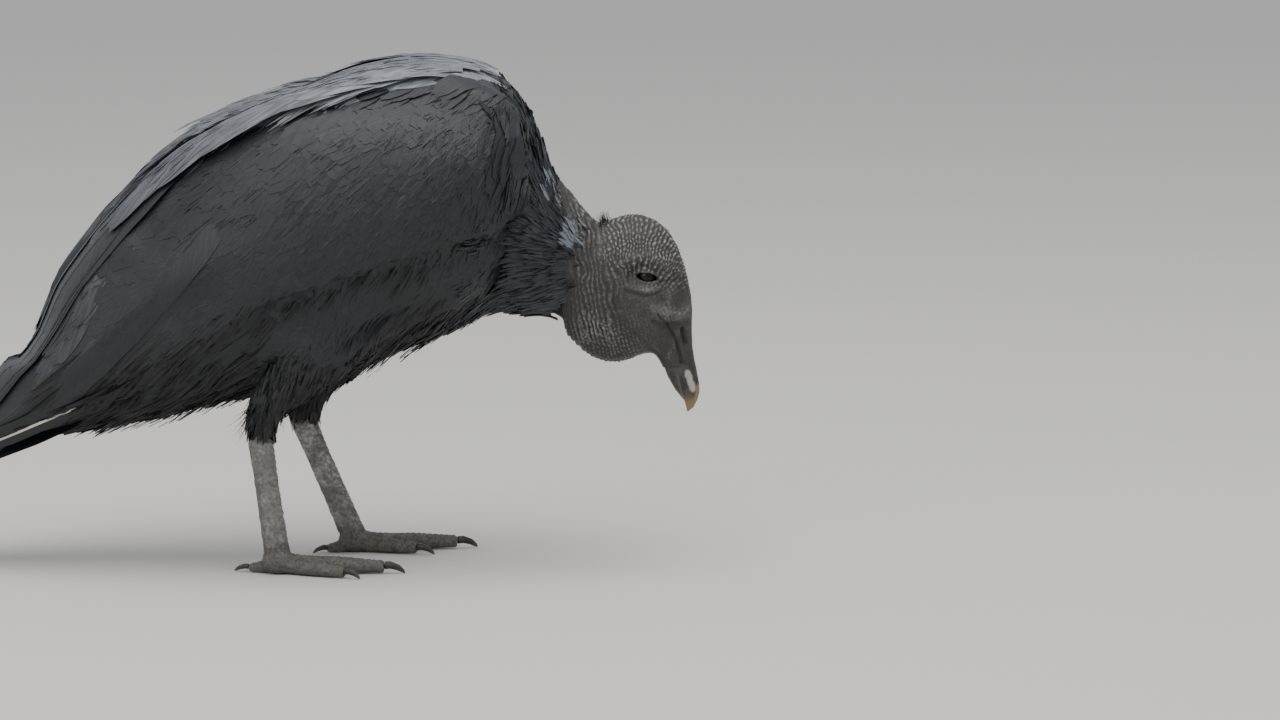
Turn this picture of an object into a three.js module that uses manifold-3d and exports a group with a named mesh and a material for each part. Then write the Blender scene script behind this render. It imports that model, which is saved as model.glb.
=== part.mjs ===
import * as THREE from "three";
import { mergeVertices } from "three/addons/utils/BufferGeometryUtils.js";
import Module from "manifold-3d";

// A life-size black vulture that stands hunched, wings folded, head lowered to the ground.
// Millimetres. +X runs towards the bill, +Y to the bird's left, +Z up, and the floor is Z = 0.

const wasm = await Module();
wasm.setup();

// ---- driving dimensions ----
const GAP = 0.3; // clearance between pieces that touch
const MIN_RADIUS = 0.2;
const LEG_SPREAD = 42; // each foot's distance from the middle plane
const EYE_RADIUS = 6;
const EYE_AT = [197.6, 12.8, 166.2]; // left eye; the right one is its mirror
const SOCKET_HALF = [12, 7, 8.5]; // the hollow the eye looks out of
const BILL_TIP_LENGTH = 26; // horny tip beyond the cere
const TOE_PAD_RADIUS = 8.5;
const TAIL_THICKNESS = 5;
const COVERT_THICKNESS = 9;
const QUILL_LAYER = 4.2; // depth of the secondaries, and of the primaries under them
const LAYER_GAP = 1; // leaves room for the facets of the two curved layers
const TERTIAL_LIFT = 8; // how far the left wing's inner feathers ride above the right wing's

const black = { color: 0x17191b, roughness: 0.6, metalness: 0 };
const finishes = {
  plumage: black,
  flightFeather: { ...black, color: 0x1c1f22, roughness: 0.5 },
  bareSkin: { color: 0x3a3633, roughness: 0.8, metalness: 0 },
  shin: { color: 0x9a9890, roughness: 0.85, metalness: 0 },
  toe: { color: 0x54524e, roughness: 0.85, metalness: 0 },
  horn: { color: 0x8b8472, roughness: 0.45, metalness: 0 },
  claw: { color: 0x1d1b19, roughness: 0.4, metalness: 0 },
  eye: { color: 0x1a100a, roughness: 0.08, metalness: 0 },
};

// ---- smooth tables: each row is one cross-section, blended into the next ----
const curveOf = (rows, pick) =>
  new THREE.CatmullRomCurve3(rows.map((row) => new THREE.Vector3(...pick(row))), false, "centripetal");

// A body that is alike on both sides: each section runs from a belly point up to a back point.
function profile(rows, squareness = 2) {
  const back = curveOf(rows, (r) => [r.back[0], 0, r.back[1]]);
  const belly = curveOf(rows, (r) => [r.belly[0], 0, r.belly[1]]);
  const half = curveOf(rows, (r) => [r.half, 0, 0]);
  // The point at share t of the length, turned by angle from the back towards the left.
  return (t, angle, grow = 0, reach = 1) => {
    const top = back.getPoint(t);
    const bottom = belly.getPoint(t);
    const up = top.clone().sub(bottom).multiplyScalar(0.5);
    const centre = top.add(bottom).multiplyScalar(0.5);
    const bulge = (value) => Math.sign(value) * Math.abs(value) ** (2 / squareness);
    up.setLength(Math.max(MIN_RADIUS, up.length() + grow)).multiplyScalar(reach * bulge(Math.cos(angle)));
    const across = Math.max(MIN_RADIUS, half.getPoint(t).x + grow) * reach * bulge(Math.sin(angle));
    return centre.add(up).add(new THREE.Vector3(0, across, 0));
  };
}

// ---- solids ----
function solidFrom(geometry) {
  geometry.deleteAttribute("normal");
  geometry.deleteAttribute("uv");
  const merged = mergeVertices(geometry, 1e-3);
  const corners = new Uint32Array(merged.index.array);
  const build = () =>
    new wasm.Manifold(
      new wasm.Mesh({ numProp: 3, vertProperties: merged.attributes.position.array, triVerts: corners }),
    );
  let solid = build();
  if (solid.volume() < 0) {
    for (let i = 0; i < corners.length; i += 3) {
      [corners[i + 1], corners[i + 2]] = [corners[i + 2], corners[i + 1]];
    }
    solid = build();
  }
  return solid;
}

// A closed body bent out of a cylinder: place(t, angle, reach) gives the point at share t of the
// length, angle round the axis and reach 0 on the axis to 1 at the rim.
function bentCylinder(place, rings, sides) {
  const body = new THREE.CylinderGeometry(1, 1, 1, sides, rings);
  const spot = body.attributes.position;
  for (let i = 0; i < spot.count; i++) {
    const [x, y, z] = [spot.getX(i), spot.getY(i), spot.getZ(i)];
    const point = place(0.5 - y, Math.atan2(x, z), Math.round(Math.hypot(x, z)));
    spot.setXYZ(i, point.x, point.y, point.z);
  }
  return solidFrom(body);
}

const profileBody = (surface, { rings, sides, grow = 0 }) =>
  bentCylinder((t, angle, reach) => surface(t, angle, grow, reach), rings, sides);

// A round limb along a bent line, with its two radii in each row; it never goes below the floor.
function limb(rows, { rings, sides, facing = [0, 1, 0], grow = 0 }) {
  const line = curveOf(rows, (row) => row.at);
  const radii = curveOf(rows, (row) => [row.wide, row.deep, 0]);
  const sideways = new THREE.Vector3(...facing);
  const place = (t, angle, reach) => {
    const ahead = line.getTangent(t);
    const deepWay = new THREE.Vector3().crossVectors(ahead, sideways).normalize();
    const wideWay = new THREE.Vector3().crossVectors(deepWay, ahead);
    const radius = radii.getPoint(t);
    const overrun = t === 0 ? -grow : t === 1 ? grow : 0;
    const point = line.getPoint(t).addScaledVector(ahead, overrun);
    point.addScaledVector(wideWay, (radius.x + grow) * Math.cos(angle) * reach);
    point.addScaledVector(deepWay, (radius.y + grow) * Math.sin(angle) * reach);
    point.z = Math.max(point.z, -grow);
    return point;
  };
  return bentCylinder(place, rings, sides);
}

// A curved plate: place(u, v, w) puts each point of a unit box, with w from 0 outside to 1 inside.
function plate(place, along, across, grow = 0) {
  const box = new THREE.BoxGeometry(1, 1, 1, along, across, 1).translate(0.5, 0.5, 0.5);
  const spot = box.attributes.position;
  for (let i = 0; i < spot.count; i++) {
    const point = place(spot.getX(i), spot.getY(i), spot.getZ(i), grow);
    spot.setXYZ(i, point.x, point.y, point.z);
  }
  return solidFrom(box);
}

// Everything on the far side of a plane through the point, as one big block.
function beyond([x, z], [ahead, up]) {
  const size = 400;
  const block = new THREE.BoxGeometry(size, size, size).translate(size / 2, 0, 0);
  block.rotateY(-Math.atan2(up, ahead)).translate(x, 0, z);
  return solidFrom(block);
}

// ---- trunk, neck and head ----
const trunkSurface = profile(
  [
    { back: [-176, 90], belly: [-174, 75], half: 9 },
    { back: [-166, 108], belly: [-160, 69], half: 22 },
    { back: [-138, 148], belly: [-130, 72], half: 35 },
    { back: [-110, 187], belly: [-102, 77], half: 45 },
    { back: [-82, 214], belly: [-76, 81], half: 52 },
    { back: [-52, 238], belly: [-48, 88], half: 57 },
    { back: [-10, 265], belly: [-4, 97], half: 64 },
    { back: [30, 284], belly: [32, 106], half: 68 },
    { back: [62, 290], belly: [64, 121], half: 69 },
    { back: [92, 289], belly: [90, 130], half: 66 },
    { back: [112, 283], belly: [106, 142], half: 58 },
    { back: [126, 270], belly: [117, 160], half: 47 },
    { back: [135, 250], belly: [127, 185], half: 30 },
    { back: [138, 232], belly: [134, 210], half: 12 },
  ],
  2.15,
);

const neckSurface = profile([
  { back: [100, 268], belly: [92, 150], half: 44 },
  { back: [126, 262], belly: [112, 142], half: 42 },
  { back: [142, 238], belly: [128, 140], half: 38 },
  { back: [153, 216], belly: [142, 138], half: 33 },
  { back: [163, 202], belly: [150, 131], half: 29 },
  { back: [171, 195], belly: [156, 127], half: 26.5 },
]);

const headSurface = profile([
  { back: [171.4, 195], belly: [156.4, 126.8], half: 26.5 },
  { back: [179, 198], belly: [165, 119], half: 25 },
  { back: [188, 200.5], belly: [175, 115.5], half: 23.2 },
  { back: [200, 198.5], belly: [186, 116], half: 21.5 },
  { back: [211, 190], belly: [194, 119.5], half: 20.5 },
  { back: [218, 175], belly: [199, 120.5], half: 18 },
  { back: [222, 160], belly: [201.8, 120], half: 14 },
  { back: [223.6, 147], belly: [204, 117.5], half: 10.5 },
  { back: [223.4, 136], belly: [206.3, 113.5], half: 8.6 },
  { back: [223.8, 124.5], belly: [209.2, 107.8], half: 7.4 },
  { back: [225.6, 113], belly: [212.6, 101.4], half: 6.3 },
  { back: [227.6, 104], belly: [216.4, 95.4], half: 4.8 },
  { back: [227.6, 96], belly: [219.4, 91.2], half: 3 },
  { back: [224, 89.2], belly: [221, 88.2], half: 1 },
]);

// ---- folded wings: plates bent over the body's own sides ----
const wingSurface = profile([
  { back: [-226, 61], belly: [-226, 45], half: 15 },
  { back: [-202, 88], belly: [-198, 46], half: 28 },
  { back: [-171, 121], belly: [-167, 44], half: 39 },
  { back: [-140, 160], belly: [-134, 48], half: 49 },
  { back: [-107, 203], belly: [-101, 54], half: 58 },
  { back: [-75, 234], belly: [-69, 62], half: 65 },
  { back: [-43, 257], belly: [-38, 73], half: 71 },
  { back: [-5, 276], belly: [-2, 86], half: 75 },
  { back: [35, 287], belly: [35, 98], half: 77 },
  { back: [75, 290], belly: [76, 116], half: 76 },
  { back: [103, 287], belly: [102, 136], half: 71 },
  { back: [121, 277], belly: [117, 160], half: 62 },
  { back: [131, 262], belly: [127, 184], half: 48 },
]);
const WING_ROWS = 12;
const WING_GIRTH = 60; // a row, or a radian round the body, is at least about this long
const ARM_END = 6; // the row where the coverts stop and the flight feathers go on
const rowShare = (row) => row / WING_ROWS;
const blend = THREE.MathUtils.lerp;
const ease = THREE.MathUtils.smoothstep;
const radians = THREE.MathUtils.degToRad;

// The wing's two long edges as angles from the middle of the back, by row of wingSurface.
const upperEdge = (row) => blend(3, 31, ease(row, 4.5, 10.5));
const lowerEdge = (row) => blend(118, 104, ease(row, 4.5, 7)) + 12 * ease(row, 9, 12);
// The line below which the primaries show under the secondaries.
const quillLine = (row) => blend(99, 84, ease(row, 1, 6));

function wingPlate(side, { rows: [rear, front], upper, lower, depth: [outer, inner] }) {
  const lift = side > 0 ? TERTIAL_LIFT : 0;
  return (grow) =>
    plate(
      (u, v, w, extra) => {
        const margin = extra / WING_GIRTH;
        const row = blend(rear - margin, front + margin, u);
        const angle = radians(blend(upper(row), lower(row), v)) + margin * (2 * v - 1);
        const inset = blend(outer(row) - extra, inner(row) + extra, w);
        const point = wingSurface(rowShare(row), side * angle, -inset);
        const raised = ease(row, 1.2, 3.2) * (1 - ease(row, 4.5, 8)) * Math.max(0, Math.cos(angle));
        point.z += lift * raised;
        return point;
      },
      Math.round((front - rear) * 1.8),
      7,
      grow,
    );
}

const thin = (row) => QUILL_LAYER * ease(row, -1.5, 2.5);
function wingPlates(side) {
  return {
    coverts: wingPlate(side, {
      rows: [ARM_END, 11.9],
      upper: upperEdge,
      lower: lowerEdge,
      depth: [() => 0, (row) => COVERT_THICKNESS * (1 - 0.55 * ease(row, 10, 12))],
    }),
    secondaries: wingPlate(side, {
      rows: [1.15, ARM_END - 0.01],
      upper: upperEdge,
      lower: quillLine,
      depth: [() => 0, thin],
    }),
    primaries: wingPlate(side, {
      rows: [0.05, ARM_END - 0.01],
      upper: (row) => blend(16, 44, ease(row, 0, 3)),
      lower: lowerEdge,
      depth: [(row) => thin(row) + LAYER_GAP, (row) => 1.7 * thin(row) + LAYER_GAP + 0.5],
    }),
  };
}

// ---- tail: a closed fan, arched across ----
const tailRoot = { x: -104, z: 94, half: 21 };
const tailEnd = { x: -217, z: 54, half: 32 };
const TAIL_ARCH = 5;
const TAIL_ROUNDING = 9; // how far the outer feathers stop short of the middle pair
function tailPlate(grow) {
  return plate(
    (u, v, w, extra) => {
      const across = 2 * v - 1;
      const x = blend(tailRoot.x, tailEnd.x + TAIL_ROUNDING * across * across, u);
      const y = across * (blend(tailRoot.half, tailEnd.half, Math.sqrt(u)) + extra);
      const middle = blend(tailRoot.z, tailEnd.z, u) - TAIL_ARCH * across * across;
      const thick = blend(TAIL_THICKNESS, 2, u) / 2 + extra;
      return new THREE.Vector3(x, y, middle + thick * (1 - 2 * w));
    },
    8,
    6,
    grow,
  );
}

// ---- legs and feet ----
// heel: the ankle joint under the feathered thigh; foot: where the toes spread; turn: its heading.
const stance = {
  right: { side: -1, knee: [14, 132], heel: [-21.5, 82], foot: [-11, 8], turn: 0 },
  left: { side: 1, knee: [30, 132], heel: [-1.5, 79], foot: [29, 8], turn: 9 },
};
// Angles turn outwards from the foot's own heading; lengths are without the claw.
const toes = {
  inner: { turn: -27, length: 38, radius: 4.6, claw: 11 },
  middle: { turn: 2, length: 60, radius: 5.2, claw: 12 },
  outer: { turn: 27, length: 43, radius: 4.5, claw: 10 },
  hallux: { turn: 195, length: 17, radius: 3.6, claw: 9 },
};

const legPoint = (pose, [x, z], inwards = 0) => [x, pose.side * (LEG_SPREAD - inwards), z];

function thighOf(pose, grow = 0) {
  const [kneeX, kneeZ] = pose.knee;
  const [heelX, heelZ] = pose.heel;
  const rows = [
    { at: legPoint(pose, [kneeX + 10, kneeZ + 20], 8), wide: 20, deep: 28 },
    { at: legPoint(pose, [kneeX, kneeZ], 4), wide: 22, deep: 29 },
    { at: legPoint(pose, [blend(kneeX, heelX, 0.42), blend(kneeZ, heelZ, 0.38)], 2), wide: 17, deep: 20.5 },
    { at: legPoint(pose, [blend(kneeX, heelX, 0.8), blend(kneeZ, heelZ, 0.7)]), wide: 12, deep: 13.5 },
    { at: legPoint(pose, [heelX + 2, heelZ + 4]), wide: 9, deep: 10 },
    { at: legPoint(pose, [heelX + 1, heelZ - 5]), wide: 7.5, deep: 8.4 },
  ];
  return limb(rows, { rings: 8, sides: 14, grow });
}

function tarsusOf(pose, grow = 0) {
  const [heelX, heelZ] = pose.heel;
  const [footX, footZ] = pose.foot;
  const down = (part) => legPoint(pose, [blend(heelX, footX, part), blend(heelZ, footZ, part)]);
  const rows = [
    { at: down(-0.06), wide: 6, deep: 6.6 },
    { at: down(0.06), wide: 6.8, deep: 7.6 },
    { at: down(0.25), wide: 5.4, deep: 7.1 },
    { at: down(0.6), wide: 5.2, deep: 7.2 },
    { at: down(0.85), wide: 6.4, deep: 7.5 },
    { at: down(1), wide: 8, deep: 7.8 },
  ];
  return limb(rows, { rings: 7, sides: 10, grow });
}

const beneath = (grow) => solidFrom(new THREE.BoxGeometry(900, 900, 50).translate(0, 0, -25 - grow));

function padOf(pose, grow = 0) {
  const [x, y, z] = legPoint(pose, pose.foot);
  const ball = new THREE.SphereGeometry(TOE_PAD_RADIUS + grow, 12, 8).scale(1.15, 1.1, 0.92);
  ball.translate(x, y, z - 1);
  return solidFrom(ball).subtract(beneath(grow));
}

// The toe's own line: up over the knuckles and down to a claw whose point meets the floor.
function toeLine(pose, toe) {
  const [footX, footY] = legPoint(pose, pose.foot);
  const turn = radians((pose.turn + toe.turn) * pose.side);
  const aim = [Math.cos(turn), Math.sin(turn)];
  return {
    spot: (distance, height) => [footX + aim[0] * distance, footY + aim[1] * distance, height],
    facing: [-aim[1], aim[0], 0],
  };
}

function toeOf(pose, toe, grow = 0) {
  const { spot, facing } = toeLine(pose, toe);
  const r = toe.radius;
  const rows = [
    { at: spot(3, r + 1.2), wide: r + 1.2, deep: r + 1 },
    { at: spot(toe.length * 0.3, r), wide: r, deep: r },
    { at: spot(toe.length * 0.55, r - 0.2), wide: r * 1.06, deep: r * 1.04 },
    { at: spot(toe.length * 0.8, r - 0.6), wide: r * 0.84, deep: r * 0.84 },
    { at: spot(toe.length, r - 0.9), wide: r * 0.68, deep: r * 0.72 },
  ];
  return limb(rows, { rings: 6, sides: 8, facing, grow });
}

function clawOf(pose, toe) {
  const { spot, facing } = toeLine(pose, toe);
  const r = toe.radius;
  const rows = [
    { at: spot(toe.length - 2, r - 0.4), wide: r * 0.42, deep: r * 0.5 },
    { at: spot(toe.length + toe.claw * 0.45, r - 0.3), wide: r * 0.36, deep: r * 0.46 },
    { at: spot(toe.length + toe.claw * 0.85, r * 0.42), wide: r * 0.22, deep: r * 0.3 },
    { at: spot(toe.length + toe.claw, 0.5), wide: 0.4, deep: 0.5 },
  ];
  return limb(rows, { rings: 4, sides: 6, facing });
}

// ---- the whole bird ----
const bird = new THREE.Group();

function addPiece(name, solid, finish) {
  const { vertProperties, triVerts, numProp } = solid.getMesh();
  const geometry = new THREE.BufferGeometry();
  const interleaved = new THREE.InterleavedBuffer(vertProperties, numProp);
  geometry.setAttribute("position", new THREE.InterleavedBufferAttribute(interleaved, 3, 0));
  geometry.setIndex(new THREE.BufferAttribute(triVerts, 1));
  geometry.computeVertexNormals();
  const mesh = new THREE.Mesh(geometry, new THREE.MeshStandardMaterial(finishes[finish]));
  mesh.name = name;
  bird.add(mesh);
}

const sides = { right: -1, left: 1 };
const wings = Object.fromEntries(Object.entries(sides).map(([name, side]) => [name, wingPlates(side)]));
const allPlates = Object.values(wings).flatMap(Object.values);
const withoutWings = (solid) => allPlates.reduce((rest, make) => rest.subtract(make(GAP)), solid);
const largestOf = (solid) => solid.decompose().sort((a, b) => b.volume() - a.volume())[0];

const trunkSize = { rings: 20, sides: 18 };
const trunkGrown = profileBody(trunkSurface, { ...trunkSize, grow: GAP });
const trunk = largestOf(withoutWings(profileBody(trunkSurface, trunkSize)));
addPiece("trunk", trunk, "plumage");
addPiece("tail", largestOf(withoutWings(tailPlate(0).subtract(trunkGrown))), "flightFeather");

for (const [name, { coverts, secondaries, primaries }] of Object.entries(wings)) {
  addPiece(`wing_coverts_${name}`, coverts(0), "plumage");
  addPiece(`wing_secondaries_${name}`, secondaries(0), "flightFeather");
  addPiece(`wing_primaries_${name}`, primaries(0), "flightFeather");
}

const neckWhole = profileBody(neckSurface, { rings: 7, sides: 16 });
addPiece("neck", largestOf(withoutWings(neckWhole.subtract(trunkGrown))), "plumage");

// The bill's pale tip is cut off across, then parted along the mouth.
const billTip = [223, 88];
const billAim = [0.16, -0.987];
const billCut = (extra) => {
  const back = BILL_TIP_LENGTH + extra;
  return beyond([billTip[0] - billAim[0] * back, billTip[1] - billAim[1] * back], billAim);
};
const mouthSide = [0.975, 0.222]; // from the mouth line towards the upper bill
const mouthAt = (extra) => [218.4 + mouthSide[0] * extra, 96 + mouthSide[1] * extra];
const headWhole = profileBody(headSurface, { rings: 20, sides: 18 });
const eyeBall = (side, grow = 0) => {
  const [x, y, z] = EYE_AT;
  const ball = new THREE.SphereGeometry(EYE_RADIUS + grow, 12, 8).rotateX(Math.PI / 2);
  return solidFrom(ball.translate(x, side * y, z));
};
const socket = (side) => {
  const [x, y, z] = EYE_AT;
  const hollow = new THREE.SphereGeometry(1, 10, 6).rotateX(Math.PI / 2).scale(...SOCKET_HALF);
  return solidFrom(hollow.translate(x, side * (y + SOCKET_HALF[1] + 2), z));
};
const headSkin = Object.values(sides).reduce(
  (rest, side) => rest.subtract(socket(side)).subtract(eyeBall(side, GAP)),
  headWhole.subtract(billCut(GAP)),
);
addPiece("head", largestOf(headSkin), "bareSkin");
const bill = headWhole.intersect(billCut(0));
addPiece("bill_upper", largestOf(bill.intersect(beyond(mouthAt(GAP / 2), mouthSide))), "horn");
const underMouth = beyond(mouthAt(-GAP / 2), mouthSide);
addPiece("bill_lower", largestOf(bill.subtract(underMouth)), "horn");
for (const [name, side] of Object.entries(sides)) {
  addPiece(`eye_${name}`, eyeBall(side), "eye");
}

for (const [name, pose] of Object.entries(stance)) {
  const padGrown = padOf(pose, GAP);
  const thigh = withoutWings(thighOf(pose).subtract(trunkGrown));
  addPiece(`thigh_${name}`, largestOf(thigh), "plumage");
  addPiece(`tarsus_${name}`, largestOf(tarsusOf(pose).subtract(thighOf(pose, GAP)).subtract(padGrown)), "shin");
  addPiece(`foot_${name}`, padOf(pose), "toe");
  let taken = padGrown;
  for (const [digit, toe] of Object.entries(toes)) {
    const clear = taken.add(tarsusOf(pose, GAP));
    addPiece(`toe_${digit}_${name}`, largestOf(toeOf(pose, toe).subtract(clear)), "toe");
    addPiece(`claw_${digit}_${name}`, largestOf(clawOf(pose, toe).subtract(toeOf(pose, toe, GAP))), "claw");
    taken = taken.add(toeOf(pose, toe, GAP));
  }
}

// The origin is the middle of the bird's footprint box, on the floor.
const extent = new THREE.Box3().setFromObject(bird);
const middle = extent.getCenter(new THREE.Vector3());
bird.position.set(-middle.x, -middle.y, -extent.min.z);

export default bird;
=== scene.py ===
import math

import bmesh
import bpy
import numpy as np
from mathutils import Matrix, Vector
from mathutils.bvhtree import BVHTree


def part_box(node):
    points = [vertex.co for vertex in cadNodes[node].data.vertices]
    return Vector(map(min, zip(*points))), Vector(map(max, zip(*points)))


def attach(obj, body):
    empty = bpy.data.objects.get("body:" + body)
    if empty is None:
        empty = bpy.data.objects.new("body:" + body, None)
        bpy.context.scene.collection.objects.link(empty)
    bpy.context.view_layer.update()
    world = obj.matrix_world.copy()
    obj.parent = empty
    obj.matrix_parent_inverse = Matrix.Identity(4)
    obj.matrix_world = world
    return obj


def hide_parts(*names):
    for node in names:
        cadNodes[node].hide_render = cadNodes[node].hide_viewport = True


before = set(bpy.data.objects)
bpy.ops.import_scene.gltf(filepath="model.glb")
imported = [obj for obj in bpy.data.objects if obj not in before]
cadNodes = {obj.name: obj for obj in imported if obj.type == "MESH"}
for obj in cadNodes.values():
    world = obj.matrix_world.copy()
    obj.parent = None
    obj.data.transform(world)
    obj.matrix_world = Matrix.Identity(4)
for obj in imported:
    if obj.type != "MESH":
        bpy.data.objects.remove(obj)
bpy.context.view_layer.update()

mm = 0.001
tau = 2 * math.pi
sides = {"right": -1, "left": 1}

# side-on layout in millimetres: the eye's x and z, over a floor at z = 0
eyeAt = (197.6, 166.2)
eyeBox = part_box("eye_right")
shiftX = (eyeBox[0][0] + eyeBox[1][0]) / 2 - eyeAt[0] * mm


def spot(x, z, y=0.0):
    return np.array((x * mm + shiftX, y * mm, z * mm))


def xOf(point):
    return (point[:, 0] - shiftX) / mm


def zOf(point):
    return point[:, 2] / mm


def unit(v):
    return v / np.maximum(np.linalg.norm(v, axis=-1, keepdims=True), 1e-12)


def ease(low, high, x):
    t = clamp((x - low) / (high - low))
    return t * t * (3 - 2 * t)


def clamp(x):
    return np.clip(x, 0, 1)


def turned(x, z, degrees):
    c, s = math.cos(math.radians(degrees)), math.sin(math.radians(degrees))
    return x * c - z * s, x * s + z * c


def hump(points, centre, radii, slope=0):
    # side-on, 1 at the centre and near 0 past the two radii, the first of which lies at that slope
    x, z = turned(points[:, 0] - spot(*centre)[0], points[:, 2] - spot(*centre)[2], -slope)
    return np.exp(-((x / (radii[0] * mm)) ** 2 + (z / (radii[1] * mm)) ** 2) * 1.6)


def pathGap(points, path):
    # side-on distance in millimetres to a path of (x, z) points
    p = np.stack((xOf(points), zOf(points)), 1)
    gap = np.full(len(p), 1e9)
    for start, end in zip(path[:-1], path[1:]):
        a, b = np.array(start, float), np.array(end, float)
        t = clamp(((p - a) @ (b - a)) / ((b - a) @ (b - a)))
        gap = np.minimum(gap, np.hypot(*(p - a - t[:, None] * (b - a)).T))
    return gap


def ridge(points, path, width):
    return np.exp(-(pathGap(points, path) / width) ** 2)


def lattice(cells, seed):
    # one repeatable random number from 0 to 1 for each whole-number cell
    x, y, z = (cells[..., i].astype(np.int64) for i in range(3))
    h = (x * 73856093) ^ (y * 19349663) ^ (z * 83492791) ^ (seed * 2654435)
    h = (h ^ (h >> 13)) * 1274126177 & 0x7FFFFFFF
    return ((h ^ (h >> 16)) & 0xFFFF) / 65535.0


def ripple(points, size, seed=0):
    # smooth noise from -1 to 1 with lumps of about that size in millimetres
    p = points / (size * mm)
    base = np.floor(p)
    f = p - base
    f = f * f * (3 - 2 * f)
    total = 0
    for corner in np.ndindex(2, 2, 2):
        weight = np.prod([f[:, i] if c else 1 - f[:, i] for i, c in enumerate(corner)], axis=0)
        total = total + weight * lattice(base + corner, seed)
    return total * 2 - 1


def placed(name, data):
    thing = bpy.data.objects.new(name, data)
    bpy.context.scene.collection.objects.link(thing)
    return thing


# camera
cameraLook = {
    "distance": 4.0,
    "elevation": 7.0,
    "mmPerPixel": 0.57,
    "pixelsAcross": 1280,
    "aim": (193.8, 116.5),  # layout point at the middle of the frame
    "sensor": 36.0,
    "clipEnd": 50,
}


def makeCamera():
    look = cameraLook
    camera = placed("camera", bpy.data.cameras.new("camera"))
    tilt = math.radians(look["elevation"])
    away = Vector((0, math.cos(tilt), -math.sin(tilt)))
    camera.location = Vector(spot(*look["aim"])) - away * look["distance"]
    camera.rotation_euler = away.to_track_quat("-Z", "Y").to_euler()
    camera.data.sensor_width = look["sensor"]
    camera.data.lens = look["sensor"] * look["distance"] / (look["pixelsAcross"] * look["mmPerPixel"] * mm)
    camera.data.clip_end = look["clipEnd"]
    bpy.context.scene.camera = camera


makeCamera()
print("camera set")


class Tree:
    # short ways to add nodes to one tree; an input takes a socket or a constant
    def __init__(self, inner):
        self.inner = inner

    def join(self, source, socket):
        if isinstance(source, bpy.types.NodeSocket):
            self.inner.links.new(source, socket)
        else:
            socket.default_value = source

    def add(self, kind, links=(), **values):
        node = self.inner.nodes.new(kind if kind.startswith(("Geometry", "Function")) else "ShaderNode" + kind)
        for key, value in values.items():
            setattr(node, key, value)
        for socket, source in dict(links).items():
            self.join(source, node.inputs[socket])
        return node

    def maths(self, operation, *terms):
        return self.add("Math", dict(enumerate(terms)), operation=operation).outputs[0]

    def times(self, *terms):
        return self.maths("MULTIPLY", *terms)

    def plus(self, *terms):
        return self.maths("ADD", *terms)

    def vector(self, operation, links):
        return self.add("VectorMath", links, operation=operation).outputs[0]

    def combined(self, x, y, z):
        return self.add("CombineXYZ", {0: x, 1: y, 2: z}).outputs[0]

    def parts(self, source):
        return self.add("SeparateXYZ", {0: source}).outputs

    def mix(self, factor, low, high):
        low, high = (c if isinstance(c, bpy.types.NodeSocket) else (*c, 1) for c in (low, high))
        return self.add("Mix", {0: factor, 6: low, 7: high}, data_type="RGBA").outputs[2]

    def spread(self, value, low, high, toLow=0.0, toHigh=1.0):
        links = dict(enumerate((value, low, high, toLow, toHigh)))
        return self.add("MapRange", links, interpolation_type="SMOOTHSTEP").outputs[0]

    def noise(self, place, scale, detail, output="Fac", **more):
        return self.add("TexNoise", {"Vector": place, "Scale": scale, "Detail": detail, **more}).outputs[output]

    def value(self, name):
        return self.add("Attribute", attribute_name=name).outputs["Fac"]

    def place(self):
        return self.add("TexCoord").outputs["Object"]

    def surface(self, colour, rough, height, strength, depth):
        bump = self.add("Bump", {"Height": height, "Strength": strength, "Distance": depth})
        ends = self.inner.nodes["Principled BSDF"].inputs
        for socket, source in (("Base Color", colour), ("Roughness", rough), ("Normal", bump.outputs[0])):
            self.join(source, ends[socket])


def newGroup(name, inputs, outputs, kind="Shader"):
    group = bpy.data.node_groups.new(name, kind + "NodeTree")
    for way, sockets in (("INPUT", inputs), ("OUTPUT", outputs)):
        for label, socket in sockets.items():
            group.interface.new_socket(label, in_out=way, socket_type="NodeSocket" + socket)
    return Tree(group), group.nodes.new("NodeGroupInput").outputs, group.nodes.new("NodeGroupOutput").inputs


def newMaterial(name, constants):
    material = bpy.data.materials.new(name)
    material.use_nodes = True
    for socket, value in constants.items():
        material.node_tree.nodes["Principled BSDF"].inputs[socket].default_value = value
    return material, Tree(material.node_tree)


# barbs: fine streaks that leave the shaft at an angle, read from each feather's own map in metres
barbLook = {
    "streak": (1.0, 90.0),  # share of the fineness across the barbs, and noise along them
    "clump": (0.3, 40.0),
    "shift": 37.0,
    "detail": 2.0,
}


def makeBarbGroup():
    tree, given, out = newGroup("barbs", {"Angle": "Float", "Fineness": "Float"},
                                {"Streak": "Float", "Clump": "Float"})
    vane = tree.parts(tree.add("UVMap", uv_map="vane").outputs[0])
    along, across = vane[0], tree.maths("ABSOLUTE", vane[1])
    sine, cosine = tree.maths("SINE", given["Angle"]), tree.maths("COSINE", given["Angle"])
    beside = tree.maths("SUBTRACT", tree.times(along, sine), tree.times(across, cosine))
    onward = tree.plus(tree.times(along, cosine), tree.times(across, sine))
    shift = tree.times(tree.value("tone"), barbLook["shift"])

    def stripes(share, stretch):
        across = tree.times(beside, tree.times(given["Fineness"], share))
        return tree.noise(tree.combined(across, tree.times(onward, stretch), shift), 1.0, barbLook["detail"])

    tree.join(stripes(*barbLook["streak"]), out["Streak"])
    tree.join(tree.spread(stripes(*barbLook["clump"]), 0.3, 0.7), out["Clump"])
    return tree.inner


barbGroup = makeBarbGroup()

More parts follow.
